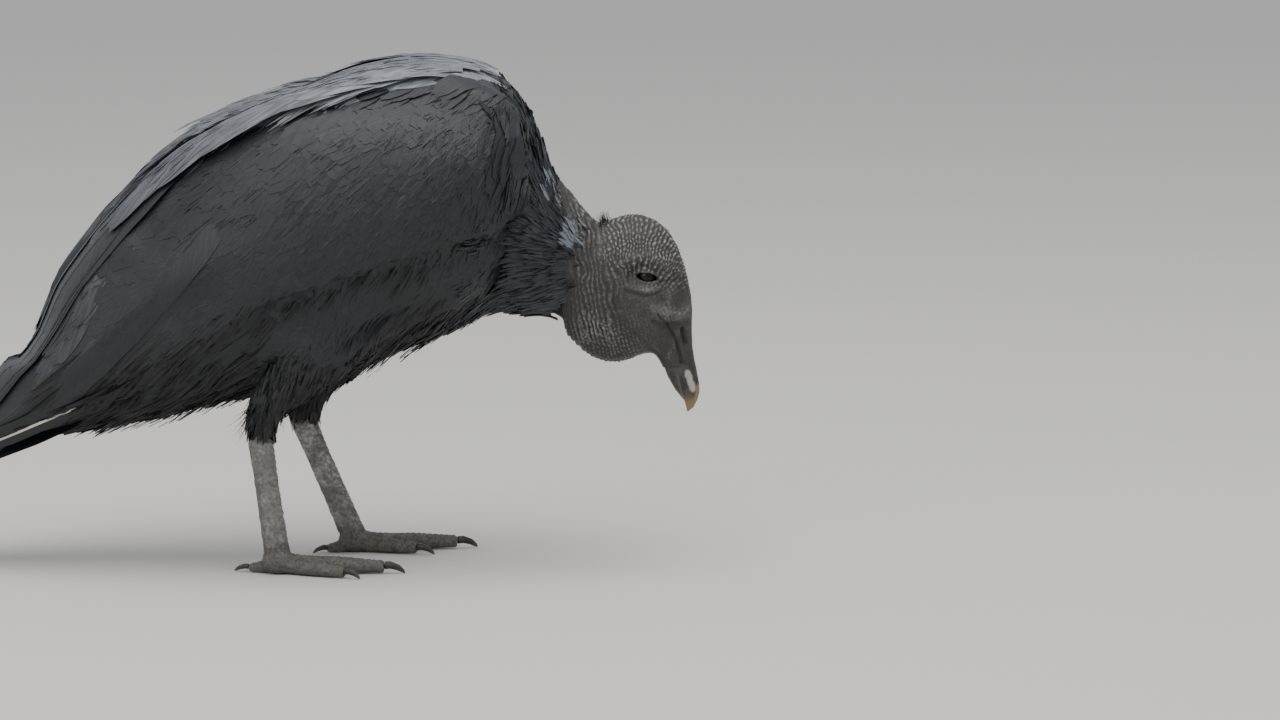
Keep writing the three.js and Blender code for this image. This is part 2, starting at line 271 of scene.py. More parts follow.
# dark and lit colours of the vane and that of its shaft, roughness range, angle, fineness and clumps of the barbs
plumageLooks = {
    "contour": {"dark": (0.0045, 0.0046, 0.0048), "lit": (0.016, 0.017, 0.0185), "shaft": (0.17, 0.19, 0.225),
                "rough": (0.48, 0.66), "angle": 0.16, "fineness": 2100.0, "clump": 0.6, "bump": 0.32, "sheen": 0.05},
    "covert": {"dark": (0.0062, 0.0076, 0.009), "lit": (0.020, 0.0245, 0.029), "shaft": (0.17, 0.19, 0.225),
               "rough": (0.42, 0.56), "angle": 0.3, "fineness": 2300.0, "clump": 0.4, "bump": 0.2, "sheen": 0.08},
    # the ruff's shaft colour is the painted highlight of its pale tufts
    "ruff": {"dark": (0.0125, 0.0135, 0.0152), "lit": (0.048, 0.052, 0.059), "shaft": (0.27, 0.30, 0.345),
             "rough": (0.42, 0.6), "angle": 0.16, "fineness": 2100.0, "clump": 0.6, "bump": 0.32, "sheen": 0.08},
    # the mantle's pale grey-blue is painted sheen, the bright sky reflected on the wet black back; the rump and the
    # scapulars wear it too
    "mantle": {"dark": (0.060, 0.065, 0.073), "lit": (0.235, 0.252, 0.275), "shaft": (0.30, 0.32, 0.36),
               "rough": (0.38, 0.55), "angle": 0.25, "fineness": 1700.0, "clump": 0.6, "bump": 0.3, "sheen": 0.12,
               "front": (-0.125, 0.07, 0.26, 1.6)},  # from x to x in metres, the share of the colour grows: painted sheen, brighter towards the shoulders
    "quill": {"dark": (0.009, 0.0102, 0.012), "lit": (0.030, 0.034, 0.040), "shaft": (0.66, 0.62, 0.54),
              "rough": (0.38, 0.52), "angle": 0.6, "fineness": 2000.0, "clump": 0.22, "bump": 0.18, "sheen": 0.08},
}


def makePlumage(name, look):
    material, tree = newMaterial("plumage_" + name, {
        "Sheen Weight": look["sheen"], "Sheen Roughness": 0.45, "Sheen Tint": (0.75, 0.82, 0.95, 1),
        "Specular IOR Level": 0.5})
    barbs = tree.add("Group", {"Angle": look["angle"], "Fineness": look["fineness"]}, node_tree=barbGroup).outputs
    wash = tree.spread(tree.noise(tree.place(), 26.0, 3.0), 0.25, 0.75, 0.4, 1.3)
    streak = tree.plus(tree.times(barbs["Clump"], look["clump"]), tree.times(tree.value("tone"), 0.16))
    colour = tree.mix(tree.times(streak, wash), look["dark"], look["lit"])
    colour = tree.mix(tree.value("pale"), colour, look["shaft"])
    if "front" in look:  # painted sheen of the wet back, brighter towards the shoulders
        shine = tree.add("MapRange", dict(enumerate((tree.parts(tree.place())[0], *look["front"]))))
        colour = tree.vector("SCALE", {0: colour, 3: shine.outputs[0]})
    rough = tree.spread(barbs["Streak"], 0.2, 0.8, *look["rough"])
    tree.surface(colour, rough, tree.plus(barbs["Streak"], tree.times(barbs["Clump"], 0.8)), look["bump"], 0.0006)
    return material


plumage = {name: makePlumage(name, look) for name, look in plumageLooks.items()}


# skin: a dark ground under paler tops of the folds, over two sizes of pebble; the paler tops of folds and pebbles are
# painted light, the darker creases and crevices painted shade
def makeSkinGroup():
    tree, given, out = newGroup("skin_grain", {"Pebble": "Float", "Speckle": "Float"},
                                {"Height": "Float", "Crevice": "Float", "Mottle": "Float"})
    place = tree.place()
    wobble = tree.vector("SCALE", {0: tree.noise(place, 260.0, 2.0, "Color"), 3: 0.0018})
    bent = tree.vector("ADD", {0: place, 1: wobble})
    cells = tree.add("TexVoronoi", {"Vector": bent, "Scale": given["Pebble"]}).outputs["Distance"]
    mottle = tree.noise(place, given["Speckle"], 5.0, Roughness=0.6)
    fine = tree.noise(place, tree.times(given["Pebble"], 1.7), 3.0)
    rise = tree.plus(tree.times(tree.spread(cells, 0.05, 0.75, 1.0, 0.0), 0.65), tree.times(fine, 0.5))
    tree.join(rise, out["Height"])
    tree.join(tree.spread(cells, 0.55, 0.85), out["Crevice"])
    tree.join(tree.spread(mottle, 0.3, 0.7), out["Mottle"])
    return tree.inner


skinGroup = makeSkinGroup()

# the ground and crevice colours carry painted shade, the top colour painted light
skinLooks = {
    "head": {"ground": (0.033, 0.031, 0.0275), "top": (0.265, 0.257, 0.245), "crevice": (0.007, 0.006, 0.006),
             "pebble": 1150.0, "speckle": 150.0, "bump": 0.3, "rough": (0.46, 0.68), "cut": 0.3},
    "shin": {"ground": (0.13, 0.126, 0.115), "top": (0.37, 0.365, 0.35), "crevice": (0.05, 0.045, 0.036),
             "pebble": 520.0, "speckle": 95.0, "bump": 0.4, "rough": (0.6, 0.85), "cut": 0.4},
    "toe": {"ground": (0.095, 0.089, 0.079), "top": (0.30, 0.285, 0.25), "crevice": (0.015, 0.013, 0.011),
            "pebble": 640.0, "speckle": 110.0, "bump": 0.4, "rough": (0.55, 0.85), "cut": 0.4},
    # under: dark skin below the coat, painted near-black as the shade under the feathers
    "under": {"ground": (0.008, 0.008, 0.008), "top": (0.016, 0.016, 0.017), "crevice": (0.005, 0.005, 0.005),
              "pebble": 300.0, "speckle": 60.0, "bump": 0.3, "rough": (0.7, 0.9), "cut": 0.3},
}


def makeSkin(name, look):
    material, tree = newMaterial("skin_" + name, {"Specular IOR Level": 0.4})
    grain = tree.add("Group", {"Pebble": look["pebble"], "Speckle": look["speckle"]}, node_tree=skinGroup).outputs
    height = grain["Height"]
    # fold is 0 in a crease and 1 on top: painted shade in the creases, painted light on the tops
    lit = tree.times(tree.spread(tree.value("fold"), 0.12, 0.85), tree.plus(height, 0.3))
    lit = tree.times(lit, tree.spread(grain["Mottle"], 0.0, 1.0, 0.45, 1.1))
    colour = tree.mix(tree.times(lit, tree.value("pale")), look["ground"], look["top"])
    # painted shade in the crevices between the pebbles
    colour = tree.mix(tree.times(grain["Crevice"], look["cut"]), colour, look["crevice"])
    tree.surface(colour, tree.spread(height, 0.0, 1.0, *look["rough"][::-1]), height, look["bump"], 0.0005)
    return material


skinCoats = {name: makeSkin(name, look) for name, look in skinLooks.items()}
print("materials made")


# meshes from arrays
def setValue(mesh, label, numbers):
    mesh.attributes.new(label, "FLOAT", "POINT").data.foreach_set("value", np.asarray(numbers, np.float32))


def smoothed(mesh):
    mesh.polygons.foreach_set("use_smooth", np.ones(len(mesh.polygons), bool))


def meshPiece(name, verts, quads, tris, material, uvs=None, values=None):
    mesh = bpy.data.meshes.new(name)
    quads, tris = np.asarray(quads, int).reshape(-1, 4), np.asarray(tris, int).reshape(-1, 3)
    loops = np.concatenate((quads.ravel(), tris.ravel()))
    starts = np.concatenate((np.arange(len(quads)) * 4, len(quads) * 4 + np.arange(len(tris)) * 3))
    mesh.vertices.add(len(verts))
    mesh.vertices.foreach_set("co", np.asarray(verts, np.float32).ravel())
    mesh.loops.add(len(loops))
    mesh.loops.foreach_set("vertex_index", loops.astype(np.int32))
    mesh.polygons.add(len(starts))
    mesh.polygons.foreach_set("loop_start", starts.astype(np.int32))
    smoothed(mesh)
    mesh.update(calc_edges=True)
    for label, points in (uvs or {}).items():
        mesh.uv_layers.new(name=label).data.foreach_set("uv", np.asarray(points, np.float32)[loops].ravel())
    for label, numbers in (values or {}).items():
        setValue(mesh, label, numbers)
    mesh.materials.append(material)
    return placed(name, mesh)


def painted(mesh, *coats):
    mesh.materials.clear()
    for coat in coats:
        mesh.materials.append(coat)


def settled(lump):
    # the mesh with its modifiers worked out; the object goes
    mesh = bpy.data.meshes.new_from_object(lump.evaluated_get(bpy.context.evaluated_depsgraph_get()))
    bpy.data.objects.remove(lump)
    return mesh


def finished(piece, slot, *replaced):
    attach(piece, "root")
    if replaced:
        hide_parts(*replaced)
    print(piece.name, len(piece.data.vertices), "points,", sum(len(p.vertices) - 2 for p in piece.data.polygons),
          "triangles")
    return piece


def vectors(items, label):
    flat = np.empty(len(items) * 3, np.float32)
    items.foreach_get(label, flat)
    return flat.reshape(-1, 3).astype(float)


def coords(mesh):
    return vectors(mesh.vertices, "co")


def normalsOf(mesh):
    return vectors(mesh.vertex_normals, "vector")


def pushed(points, normals, move):
    return points + normals * (move * mm)[:, None]


def setCoords(mesh, points):
    mesh.vertices.foreach_set("co", points.astype(np.float32).ravel())
    mesh.update()


def ringQuads(rows, around):
    # quads between closed rings of points that follow each other
    i, j = np.divmod(np.arange((rows - 1) * around), around)
    k = (j + 1) % around
    return np.stack((i * around + j, i * around + k, (i + 1) * around + k, (i + 1) * around + j), 1)


# sleeves: smooth tubes drawn tight over some of the solids, on which the coat is laid
sleeveLook = {
    "axisRounds": 12, "fillRounds": 40, "softenRounds": 4,  # how often the axis, the gaps and the skin are smoothed
    "rowStep": 0.8, "jitter": 0.3, "fewest": 4,  # rows of roots, as shares of their spacing, and roots in a row
    "margin": 0.02,  # round the bake map
}


class Sleeve:
    def __init__(self, names, axis, steps=60, turns=72, reach=0.05, above=0.0):
        verts, faces = [], []
        for name in names:
            base, mesh = len(verts), cadNodes[name].data
            verts += [v.co[:] for v in mesh.vertices]
            faces += [[base + i for i in p.vertices] for p in mesh.polygons
                      if p.center.z > above * mm or "thigh" not in name]
        shell = BVHTree.FromPolygons(verts, faces)
        axis = np.array([spot(*point) for point in axis])
        reached = np.r_[0, np.cumsum(np.linalg.norm(np.diff(axis, axis=0), axis=1))]
        self.length, self.steps, self.turns = reached[-1], steps, turns
        s = np.linspace(0, self.length, steps)
        centres = np.stack([np.interp(s, reached, axis[:, i]) for i in range(3)], 1)
        for _ in range(sleeveLook["axisRounds"]):
            centres[1:-1] = (centres[:-2] + centres[1:-1] * 2 + centres[2:]) / 4
        ahead = unit(np.gradient(centres, axis=0))
        up = np.stack((-ahead[:, 2], ahead[:, 1] * 0, ahead[:, 0]), 1)
        angles = (np.arange(turns) / turns * tau)[:, None]
        rays = up[:, None] * np.cos(angles) + np.sin(angles) * (0, 1.0, 0)
        skin = np.full((steps, turns, 3), np.nan)
        for i, j in np.ndindex(steps, turns):
            way = Vector(rays[i, j])
            hit = shell.ray_cast(Vector(centres[i]) + way * reach, -way, reach)[0]
            if hit:
                skin[i, j] = hit
        # a ray that met nothing takes its neighbours' distance from the axis
        far = np.linalg.norm(skin - centres[:, None], axis=2)
        for _ in range(sleeveLook["fillRounds"]):
            near = np.stack([np.roll(far, 1, 1), np.roll(far, -1, 1),
                             np.vstack((far[1:], far[-1:])), np.vstack((far[:1], far[:-1]))])
            counts = (~np.isnan(near)).sum(0)
            mean = np.where(counts > 0, np.nansum(near, 0) / np.maximum(counts, 1), np.nan)
            far = np.where(np.isnan(far), mean, far)
        skin = np.where(np.isnan(skin), rays * far[..., None] + centres[:, None], skin)
        for _ in range(sleeveLook["softenRounds"]):
            skin = (np.roll(skin, 1, 1) + skin * 2 + np.roll(skin, -1, 1)) / 4
            skin[1:-1] = (skin[:-2] + skin[1:-1] * 2 + skin[2:]) / 4
        alongS = np.gradient(skin, s[1], axis=0)
        aroundA = (np.roll(skin, -1, 1) - np.roll(skin, 1, 1)) / (2 * angles[1])
        self.skin, self.table = skin, np.concatenate((skin, alongS, aroundA), 2)

    def read(self, s, a):
        # point, outward normal, and the steps of the point with s and with a
        i = s / self.length * (self.steps - 1)
        inside = np.clip(i, 0, self.steps - 1)
        i0 = np.minimum(inside.astype(int), self.steps - 2)
        f = (inside - i0)[:, None]
        j = a / tau % 1 * self.turns
        j0 = np.floor(j).astype(int)
        g = (j - j0)[:, None]
        j0, j1 = j0 % self.turns, (j0 + 1) % self.turns
        t = self.table
        value = (t[i0, j0] * (1 - g) + t[i0, j1] * g) * (1 - f) + (t[i0 + 1, j0] * (1 - g) + t[i0 + 1, j1] * g) * f
        point, alongS, aroundA = value[:, :3], value[:, 3:6], value[:, 6:]
        past = (i - inside)[:, None] * self.length / (self.steps - 1)
        return point + alongS * past, unit(np.cross(alongS, aroundA)), alongS, aroundA

    def stepped(self, s, a, read, way, step):
        # s and a after a step along the surface
        normal, alongS, aroundA = read[1:]
        way = unit(way - (way * normal).sum(1, keepdims=True) * normal)
        ss, aa, sa = ((p * q).sum(1) for p, q in ((alongS, alongS), (aroundA, aroundA), (alongS, aroundA)))
        ws, wa = (way * alongS).sum(1), (way * aroundA).sum(1)
        full = np.maximum(ss * aa - sa * sa, 1e-12)
        return s + (ws * aa - wa * sa) / full * step, a + (wa * ss - ws * sa) / full * step, way

    def lay(self, s, a, length, stations, flow, half=None, columns=7):
        # walks each feather over the surface from its root; with a half width it gives rows across as well
        stops, reach = [], columns // 2 if half else 0
        s, a = np.array(s, float), np.array(a, float)
        for _ in range(stations):
            here = self.read(s, a)
            nextS, nextA, way = self.stepped(s, a, here, flow(*here[:2]), length / (stations - 1))
            row = [here[:2]]
            for hand in (-1, 1):
                sideS, sideA, there = s, a, here
                for _ in range(reach):
                    aside = np.cross(way, here[1]) * hand
                    sideS, sideA, _way = self.stepped(sideS, sideA, there, aside, half / reach)
                    there = self.read(sideS, sideA)
                    row.insert(0 if hand < 0 else len(row), there[:2])
            stops.append(row)
            s, a = nextS, nextA
        points, normals = np.array(stops).transpose(2, 3, 0, 1, 4)
        return (points, normals) if half else (points[:, :, 0], normals[:, :, 0])

    def roots(self, spacing, rng, keep):
        # staggered rows of roots with that spacing in metres, thinned to where keep(point, normal) allows
        jitter, rows = sleeveLook["jitter"], int(self.length / (spacing * sleeveLook["rowStep"]))
        found = []
        for row in range(rows + 1):
            s = np.full(self.turns + 1, row / rows * self.length)
            a = np.arange(self.turns + 1) / self.turns * tau
            point = self.read(s, a)[0]
            girth = np.r_[0, np.cumsum(np.linalg.norm(np.diff(point, axis=0), axis=1))]
            count = max(sleeveLook["fewest"], int(girth[-1] / spacing))
            along = (np.arange(count) + (row % 2) * 0.5) / count * girth[-1]
            along = along + rng.uniform(-jitter, jitter, count) * spacing
            found.append(np.stack((s[0] + rng.uniform(-jitter, jitter, count) * spacing,
                                   np.interp(along % girth[-1], girth, a)), 1))
        found = np.concatenate(found)
        found = found[(found[:, 0] > 0) & (found[:, 0] < self.length)]
        point, normal = self.read(*found.T)[:2]
        return found[keep(point, normal)].T

    def nearest(self, x, z, side):
        # the place on one side of the sleeve that stands at that side-on spot
        target = spot(x, z)
        half = self.skin[:, :, 1] * side > 0
        gap = np.where(half, np.hypot(self.skin[..., 0] - target[0], self.skin[..., 2] - target[2]), np.inf)
        i, j = np.unravel_index(np.argmin(gap), gap.shape)
        return i / (self.steps - 1) * self.length, j / self.turns * tau

    def unwrap(self, s, a):
        margin = sleeveLook["margin"]
        return margin + (1 - 2 * margin) * np.stack((s / self.length, a / tau % 1), 1)


# feathers: thin closed blades, or fans of narrow ones, bent along the lines that a sleeve gives
def bladeShape(along, across):
    # rows of points with a keel point under each; rim has 1 or 2 on the two edges, and 4 or 8 at the two ends
    i, j = (each.ravel() for each in np.mgrid[:along + 1, :across + 2])
    u, keel = i / along, j > across
    x = np.where(keel, 0, j / across * 2 - 1)
    rim = np.select((j == 0, j == across), (1, 2), 0) + np.select((i == 0, i == along), (4, 8), 0)
    j, end = np.arange(across), along * (across + 2)
    root = np.stack((j + 1, j, 0 * j + across + 1), 1)
    tris = np.concatenate((root, end + root[:, [1, 0, 2]]), 1).reshape(-1, 3)
    return u, x, keel, rim, ringQuads(along + 1, across + 2), tris


featherLook = {
    "strips": 1,  # more than one makes a tuft
    "fill": 1.5, "sway": 0.12, "fray": 0.5, "tilt": 0.25,  # a tuft's cover, and how its strips stray
    "ragged": 0.1, "round": 0.0, "root": 0.35, "tipFrom": 0.7, "outer": 1.0,
    "camber": 0.12, "roll": 0.0, "lean": 0.0, "thick": 0.35, "pale": 0.0,
}


def feathers(lines, normals, look, rng, bakeAt, bakeSize=0.003):
    # lines and normals are (feathers, stations, 3), or with rows across as well; sizes are in millimetres
    look = {**featherLook, **look}
    count, stations, strips = *lines.shape[:2], look["strips"]
    u, x, keel, rim, quads, tris = bladeShape(look["along"], look["across"])
    size = len(u)
    half = look["half"] * mm
    wide = lines.ndim == 4
    middle = lines[:, :, lines.shape[2] // 2] if wide else lines
    length = np.linalg.norm(np.diff(middle, axis=1), axis=2).sum(1)
    parts = []
    for strip in range(strips):
        centre = 0 if strips == 1 else strip / (strips - 1) * 2 - 1
        broad = look["fill"] / strips
        loose = rng.uniform(0, 1, (count, 1))
        if strips == 1:
            loose = rng.uniform(0, 1, (count, look["across"] + 2))
            loose[:, -1] = loose.max(1)  # the keel stops short of the tip
            loose = np.tile(loose, look["along"] + 1)
        ends = 1 - look["ragged"] * loose - look["round"] * centre * centre
        U = u * (1 - (1 - ends) * (u ** 3 if strips == 1 else 1))
        body = look["root"] + (1 - look["root"]) * ease(0, 0.4, U)
        if strips == 1:
            taper = clamp((U - look["tipFrom"]) / (1.02 - look["tipFrom"]))
            tip = np.sqrt(np.clip(1 - taper ** 2, 0.004, 1))
            lateral = x * body * tip * np.where(x < 0, look["outer"], 1.0)
        else:
            sway = rng.normal(0, look["sway"], (count, 1))
            blade = x * broad * np.sqrt(clamp(1.004 - u ** 2))
            lateral = centre * (0.45 + 0.55 * U) * body + sway * U * U + blade
        lateral = lateral * half
        low, high = look["lift"]
        rise = low + (high - low) * (ease(0, look["clear"], U) if "clear" in look else U)
        rise = rise - look["camber"] * (lateral / half) ** 2 * look["half"]
        rise = rise + rng.normal(0, look["roll"], (count, 1)) * lateral / mm
        rise = rise + look["lean"] * lateral / half
        if strips > 1:
            tilt = rng.normal(0, look["tilt"], (count, 1))
            rise = rise + tilt * x * broad * look["half"] + rng.normal(0, look["fray"], (count, 1)) * U
        thick = look["thick"] * np.clip(np.sqrt(clamp(1.02 - u)), 0.15, 1)
        rise = (rise - keel * thick) * mm
        at = clamp(U) * (stations - 1)
        k = np.clip(at.astype(int), 0, stations - 2)
        f = (at - k)[..., None]
        which = np.arange(count)[:, None]
        if wide:
            columns = lines.shape[2]
            across = clamp((lateral / (look.get("ground", look["half"]) * mm) + 1) / 2) * (columns - 1)
            c = np.clip(across.astype(int), 0, columns - 2)
            g = (across - c)[..., None]
            point, normal = (
                (grid[which, k, c] * (1 - g) + grid[which, k, c + 1] * g) * (1 - f)
                + (grid[which, k + 1, c] * (1 - g) + grid[which, k + 1, c + 1] * g) * f for grid in (lines, normals))
            verts = point + unit(normal) * rise[..., None]
        else:
            point = lines[which, k] * (1 - f) + lines[which, k + 1] * f
            normal = unit(normals[which, k] * (1 - f) + normals[which, k + 1] * f)
            aside = unit(np.cross(unit(lines[which, k + 1] - lines[which, k]), normal))
            verts = point + aside * lateral[..., None] + normal * rise[..., None]
        vane = np.stack((U * length[:, None], lateral), 2)
        patch = bakeAt[:, None] + bakeSize * np.stack((U - 0.5, lateral / half * 0.5), 2)
        parts.append((verts, vane, patch))
    tone = rng.uniform(0, 1, count)
    groups = []
    for verts, vane, patch in parts:
        offset = (np.arange(count) * size)[:, None, None]
        stripTone = tone if strips == 1 else clamp(tone * 0.6 + rng.uniform(0, 0.4, count))
        groups.append({
            "verts": verts.reshape(-1, 3), "vane": vane.reshape(-1, 2), "bake": patch.reshape(-1, 2),
            "quads": (quads[None] + offset).reshape(-1, 4), "tris": (tris[None] + offset).reshape(-1, 3),
            "tone": np.repeat(stripTone, size), "pale": np.full(count * size, look["pale"]),
            "rim": np.tile(rim, count)})
    return joined(groups)


def joined(groups):
    out = {key: [] for key in groups[0]}
    base = 0
    for group in groups:
        for key, value in group.items():
            out[key].append(value + base if key in ("quads", "tris") else value)
        base += len(group["verts"])
    return {key: np.concatenate(value) for key, value in out.items()}


def coatPiece(name, groups, material):
    g = joined(groups)
    piece = meshPiece(name, g["verts"], g["quads"], g["tris"], material,
                      uvs={"vane": g["vane"], "OFBake": g["bake"]}, values={"tone": g["tone"], "pale": g["pale"]})
    ends = np.empty(len(piece.data.edges) * 2, np.int32)
    piece.data.edges.foreach_get("vertices", ends)
    first, second = g["rim"][ends.reshape(-1, 2)].T
    crisp = ((first & second & 3) > 0) | ((first & second & 12) > 0)  # the thin rims stay crisp
    piece.data.attributes.new("sharp_edge", "BOOLEAN", "EDGE").data.foreach_set("value", crisp)
    return piece


# the sleeves' axes, side-on: x, z and for the legs the distance from the middle plane
bodyAxis = [(-226, 53), (-200, 67), (-169, 85), (-137, 106), (-104, 129), (-72, 149), (-40, 166), (-3, 182),
            (35, 193), (75, 204), (102, 211), (119, 215), (130, 217)]
neckAxis = [(88, 227), (104, 214), (118, 206), (132, 195), (146, 180), (158, 166), (166, 158)]
wingNames = [f"wing_{layer}_{side}" for layer in ("coverts", "secondaries", "primaries") for side in sides]
bodySleeve = Sleeve(["trunk", "thigh_right", "thigh_left", *wingNames], bodyAxis, 150, 168, 0.17, 112)
neckSleeve = Sleeve(["neck", "trunk", *wingNames[:2]], neckAxis, 60, 96, 0.12)


def legAxis(name, side):
    foot, shin, thigh = (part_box(f"{part}_{name}") for part in ("foot", "tarsus", "thigh"))
    ankle = ((shin[0][0] + 0.007 - shiftX) / mm, shin[1][2] / mm - 4)
    top = ((thigh[0][0] + thigh[1][0]) / 2 / mm - shiftX / mm, thigh[1][2] / mm - 8)
    wide = abs(foot[0][1] + foot[1][1]) / 2 / mm
    middle = (ankle[0] + (top[0] - ankle[0]) * 0.30, ankle[1] + (top[1] - ankle[1]) * 0.42)
    return [(*top, side * (wide - 6)), (*middle, side * (wide - 1)), (*ankle, side * wide),
            (ankle[0] + 1, ankle[1] - 8, side * wide)]


thighSleeves = {
    name: Sleeve([f"thigh_{name}", f"tarsus_{name}"], legAxis(name, side)) for name, side in sides.items()
}
print("sleeves drawn")


# how the coat lies: at some places along x (or up z) the slope of the feathers' run below level towards the tail;
# then the degrees that neighbours stray, the sway aside and the parting over the middle, each with its size
coatLie = {
    "body": {"at": (-190, -120, -60, 0, 60, 120), "slope": (36, 42, 47, 53, 60, 70), "stray": (7, 26),
             "sway": (0.10, 30), "nudge": 1e-3},
    "wing": {"at": (-190, -120, -60, 0, 60, 120), "slope": (38, 42, 45, 50, 54, 60), "stray": (7, 26),
             "sway": (0.10, 30), "nudge": 1e-3},
    "back": {"at": (-90, 0, 60, 110, 130), "slope": (52, 36, 16, 0, -20), "stray": (6, 24), "sway": (0.08, 26),
             "parting": 0.12},
    "ruff": {"at": (130, 160, 190, 230), "slope": (28, 6, -24, -48), "stray": (14, 16), "sway": (0.25, 14),
             "upwards": True},
}


def lieOf(kind, seed):
    look = coatLie[kind]

    def flow(point, normal):
        along = zOf(point) if "upwards" in look else xOf(point)
        (degrees, size), (sway, swaySize) = look["stray"], look["sway"]
        slope = np.radians(np.interp(along, look["at"], look["slope"]) + ripple(point, size, seed) * degrees)
        aside = sway * ripple(point, swaySize, seed + 1) + look.get("parting", 0) * np.sign(point[:, 1])
        return np.stack((-np.cos(slope), aside, -np.sin(slope)), 1) + look.get("nudge", 0)

    return flow


def thighFlow(point, normal):
    return np.stack((-0.25 + 0.2 * ripple(point, 14, 60), 0.2 * ripple(point, 14, 61), -1 + 0 * point[:, 0]), 1)


# side-on lines: the lower limit of the folded wing and that of the pale back, whose paleness is painted sheen
coatLines = {
    "wing": ((-230, 48), (-170, 66), (-132, 84), (-90, 112), (-44, 128), (0, 137), (60, 152), (100, 168), (122, 192),
             (140, 240)),
    "back": ((-140, 118), (-91, 198), (-57, 235), (-34, 250), (0, 265), (26, 269), (52, 275), (80, 279), (112, 274),
             (126, 266), (140, 240)),
}

# the coat's own relief along side-on paths: path, width and height in millimetres
coatRelief = {
    "under_back": ([(124, 258), (100, 264), (70, 269), (40, 267), (10, 264), (-20, 253), (-50, 233), (-84, 196)],
                   9.0, -3.4),
    "under_wing": ([(-150, 82), (-120, 110), (-96, 126), (-76, 148), (-56, 178)], 7.0, -1.6),
    "parting": ([(-42, 206), (-52, 192), (-60, 180)], 3.0, -1.8),
    "flank_fold": ([(96, 196), (60, 178), (20, 160), (-20, 146), (-60, 124)], 9.0, -1.2),
    "breast_fold": ([(118, 176), (100, 158), (70, 140)], 8.0, -1.0),
}
wingBend = [(94, 280), (112, 273), (124, 258), (129, 238), (130, 218)], 13.0, 5.5
rearDrop = {"step": ([(-153, 148), (-159, 137)], 15.0, -16.0), "taper": ([(-176, 112), (-196, 90)], 13.0, -7.0)}


def relief(point):
    swell = 0.7 * ripple(point, 38, 90) + 0.35 * ripple(point, 15, 91)
    path, width, height = wingBend
    swell = swell + height * ridge(point, path, width) * ease(0.022, 0.04, np.abs(point[:, 1]))
    for path, width, height in coatRelief.values():
        swell = swell + height * ridge(point, path, width) * (np.abs(point[:, 1]) > 0.01)
    return swell


def dropped(points):
    # the same points let down where the far wing's last feathers end
    flat = points.reshape(-1, 3)
    fall = sum(height * ridge(flat, path, width) for path, width, height in rearDrop.values())
    return points + (fall * mm).reshape(points.shape[:-1])[..., None] * (0, 0, 1)


# layers of the coat, from the lowest up. Spacing, length, half width and lift (the height over the solid at root
# and tip) are in millimetres; where gives limits of x and z, of the height over the two lines, and of the normal
far = 999
blade = {"along": 6, "across": 6, "ragged": 0.05, "tipFrom": 0.5, "wrap": True}
tuft = {"along": 5, "across": 1, "strips": 6, "ragged": 0.4, "round": 0.3, "sway": 0.16, "fill": 1.7, "thick": 0.16}
plume = dict(tuft, round=0.25, fill=2.2, thick=0.24)
mantle = dict(blade, seed=40, stations=10, spacing=9.5, length=(46, 64), half=8, along=9, ragged=0.16, tipFrom=0.35,
              lift=(-1.4, -0.2), thick=0.25, camber=0.03, roll=0.05, where={"back": (2, far), "x": (-60, far)})


def besideNeck(point, normal):
    ahead = (normal[:, 0] > 0.62) & (np.abs(normal[:, 1]) < 0.7)
    return (np.abs(point[:, 1]) < 0.028) | ahead | (xOf(point) > 130)


# painted highlights: the places on the neck where pale tufts stand in for glints of light
def paintedHighlightSpots(point, normal):
    places = ((153, 214), (164, 201), (165, 187))
    return sum(hump(point, place, (11, 7), 45) for place in places) > 0.42


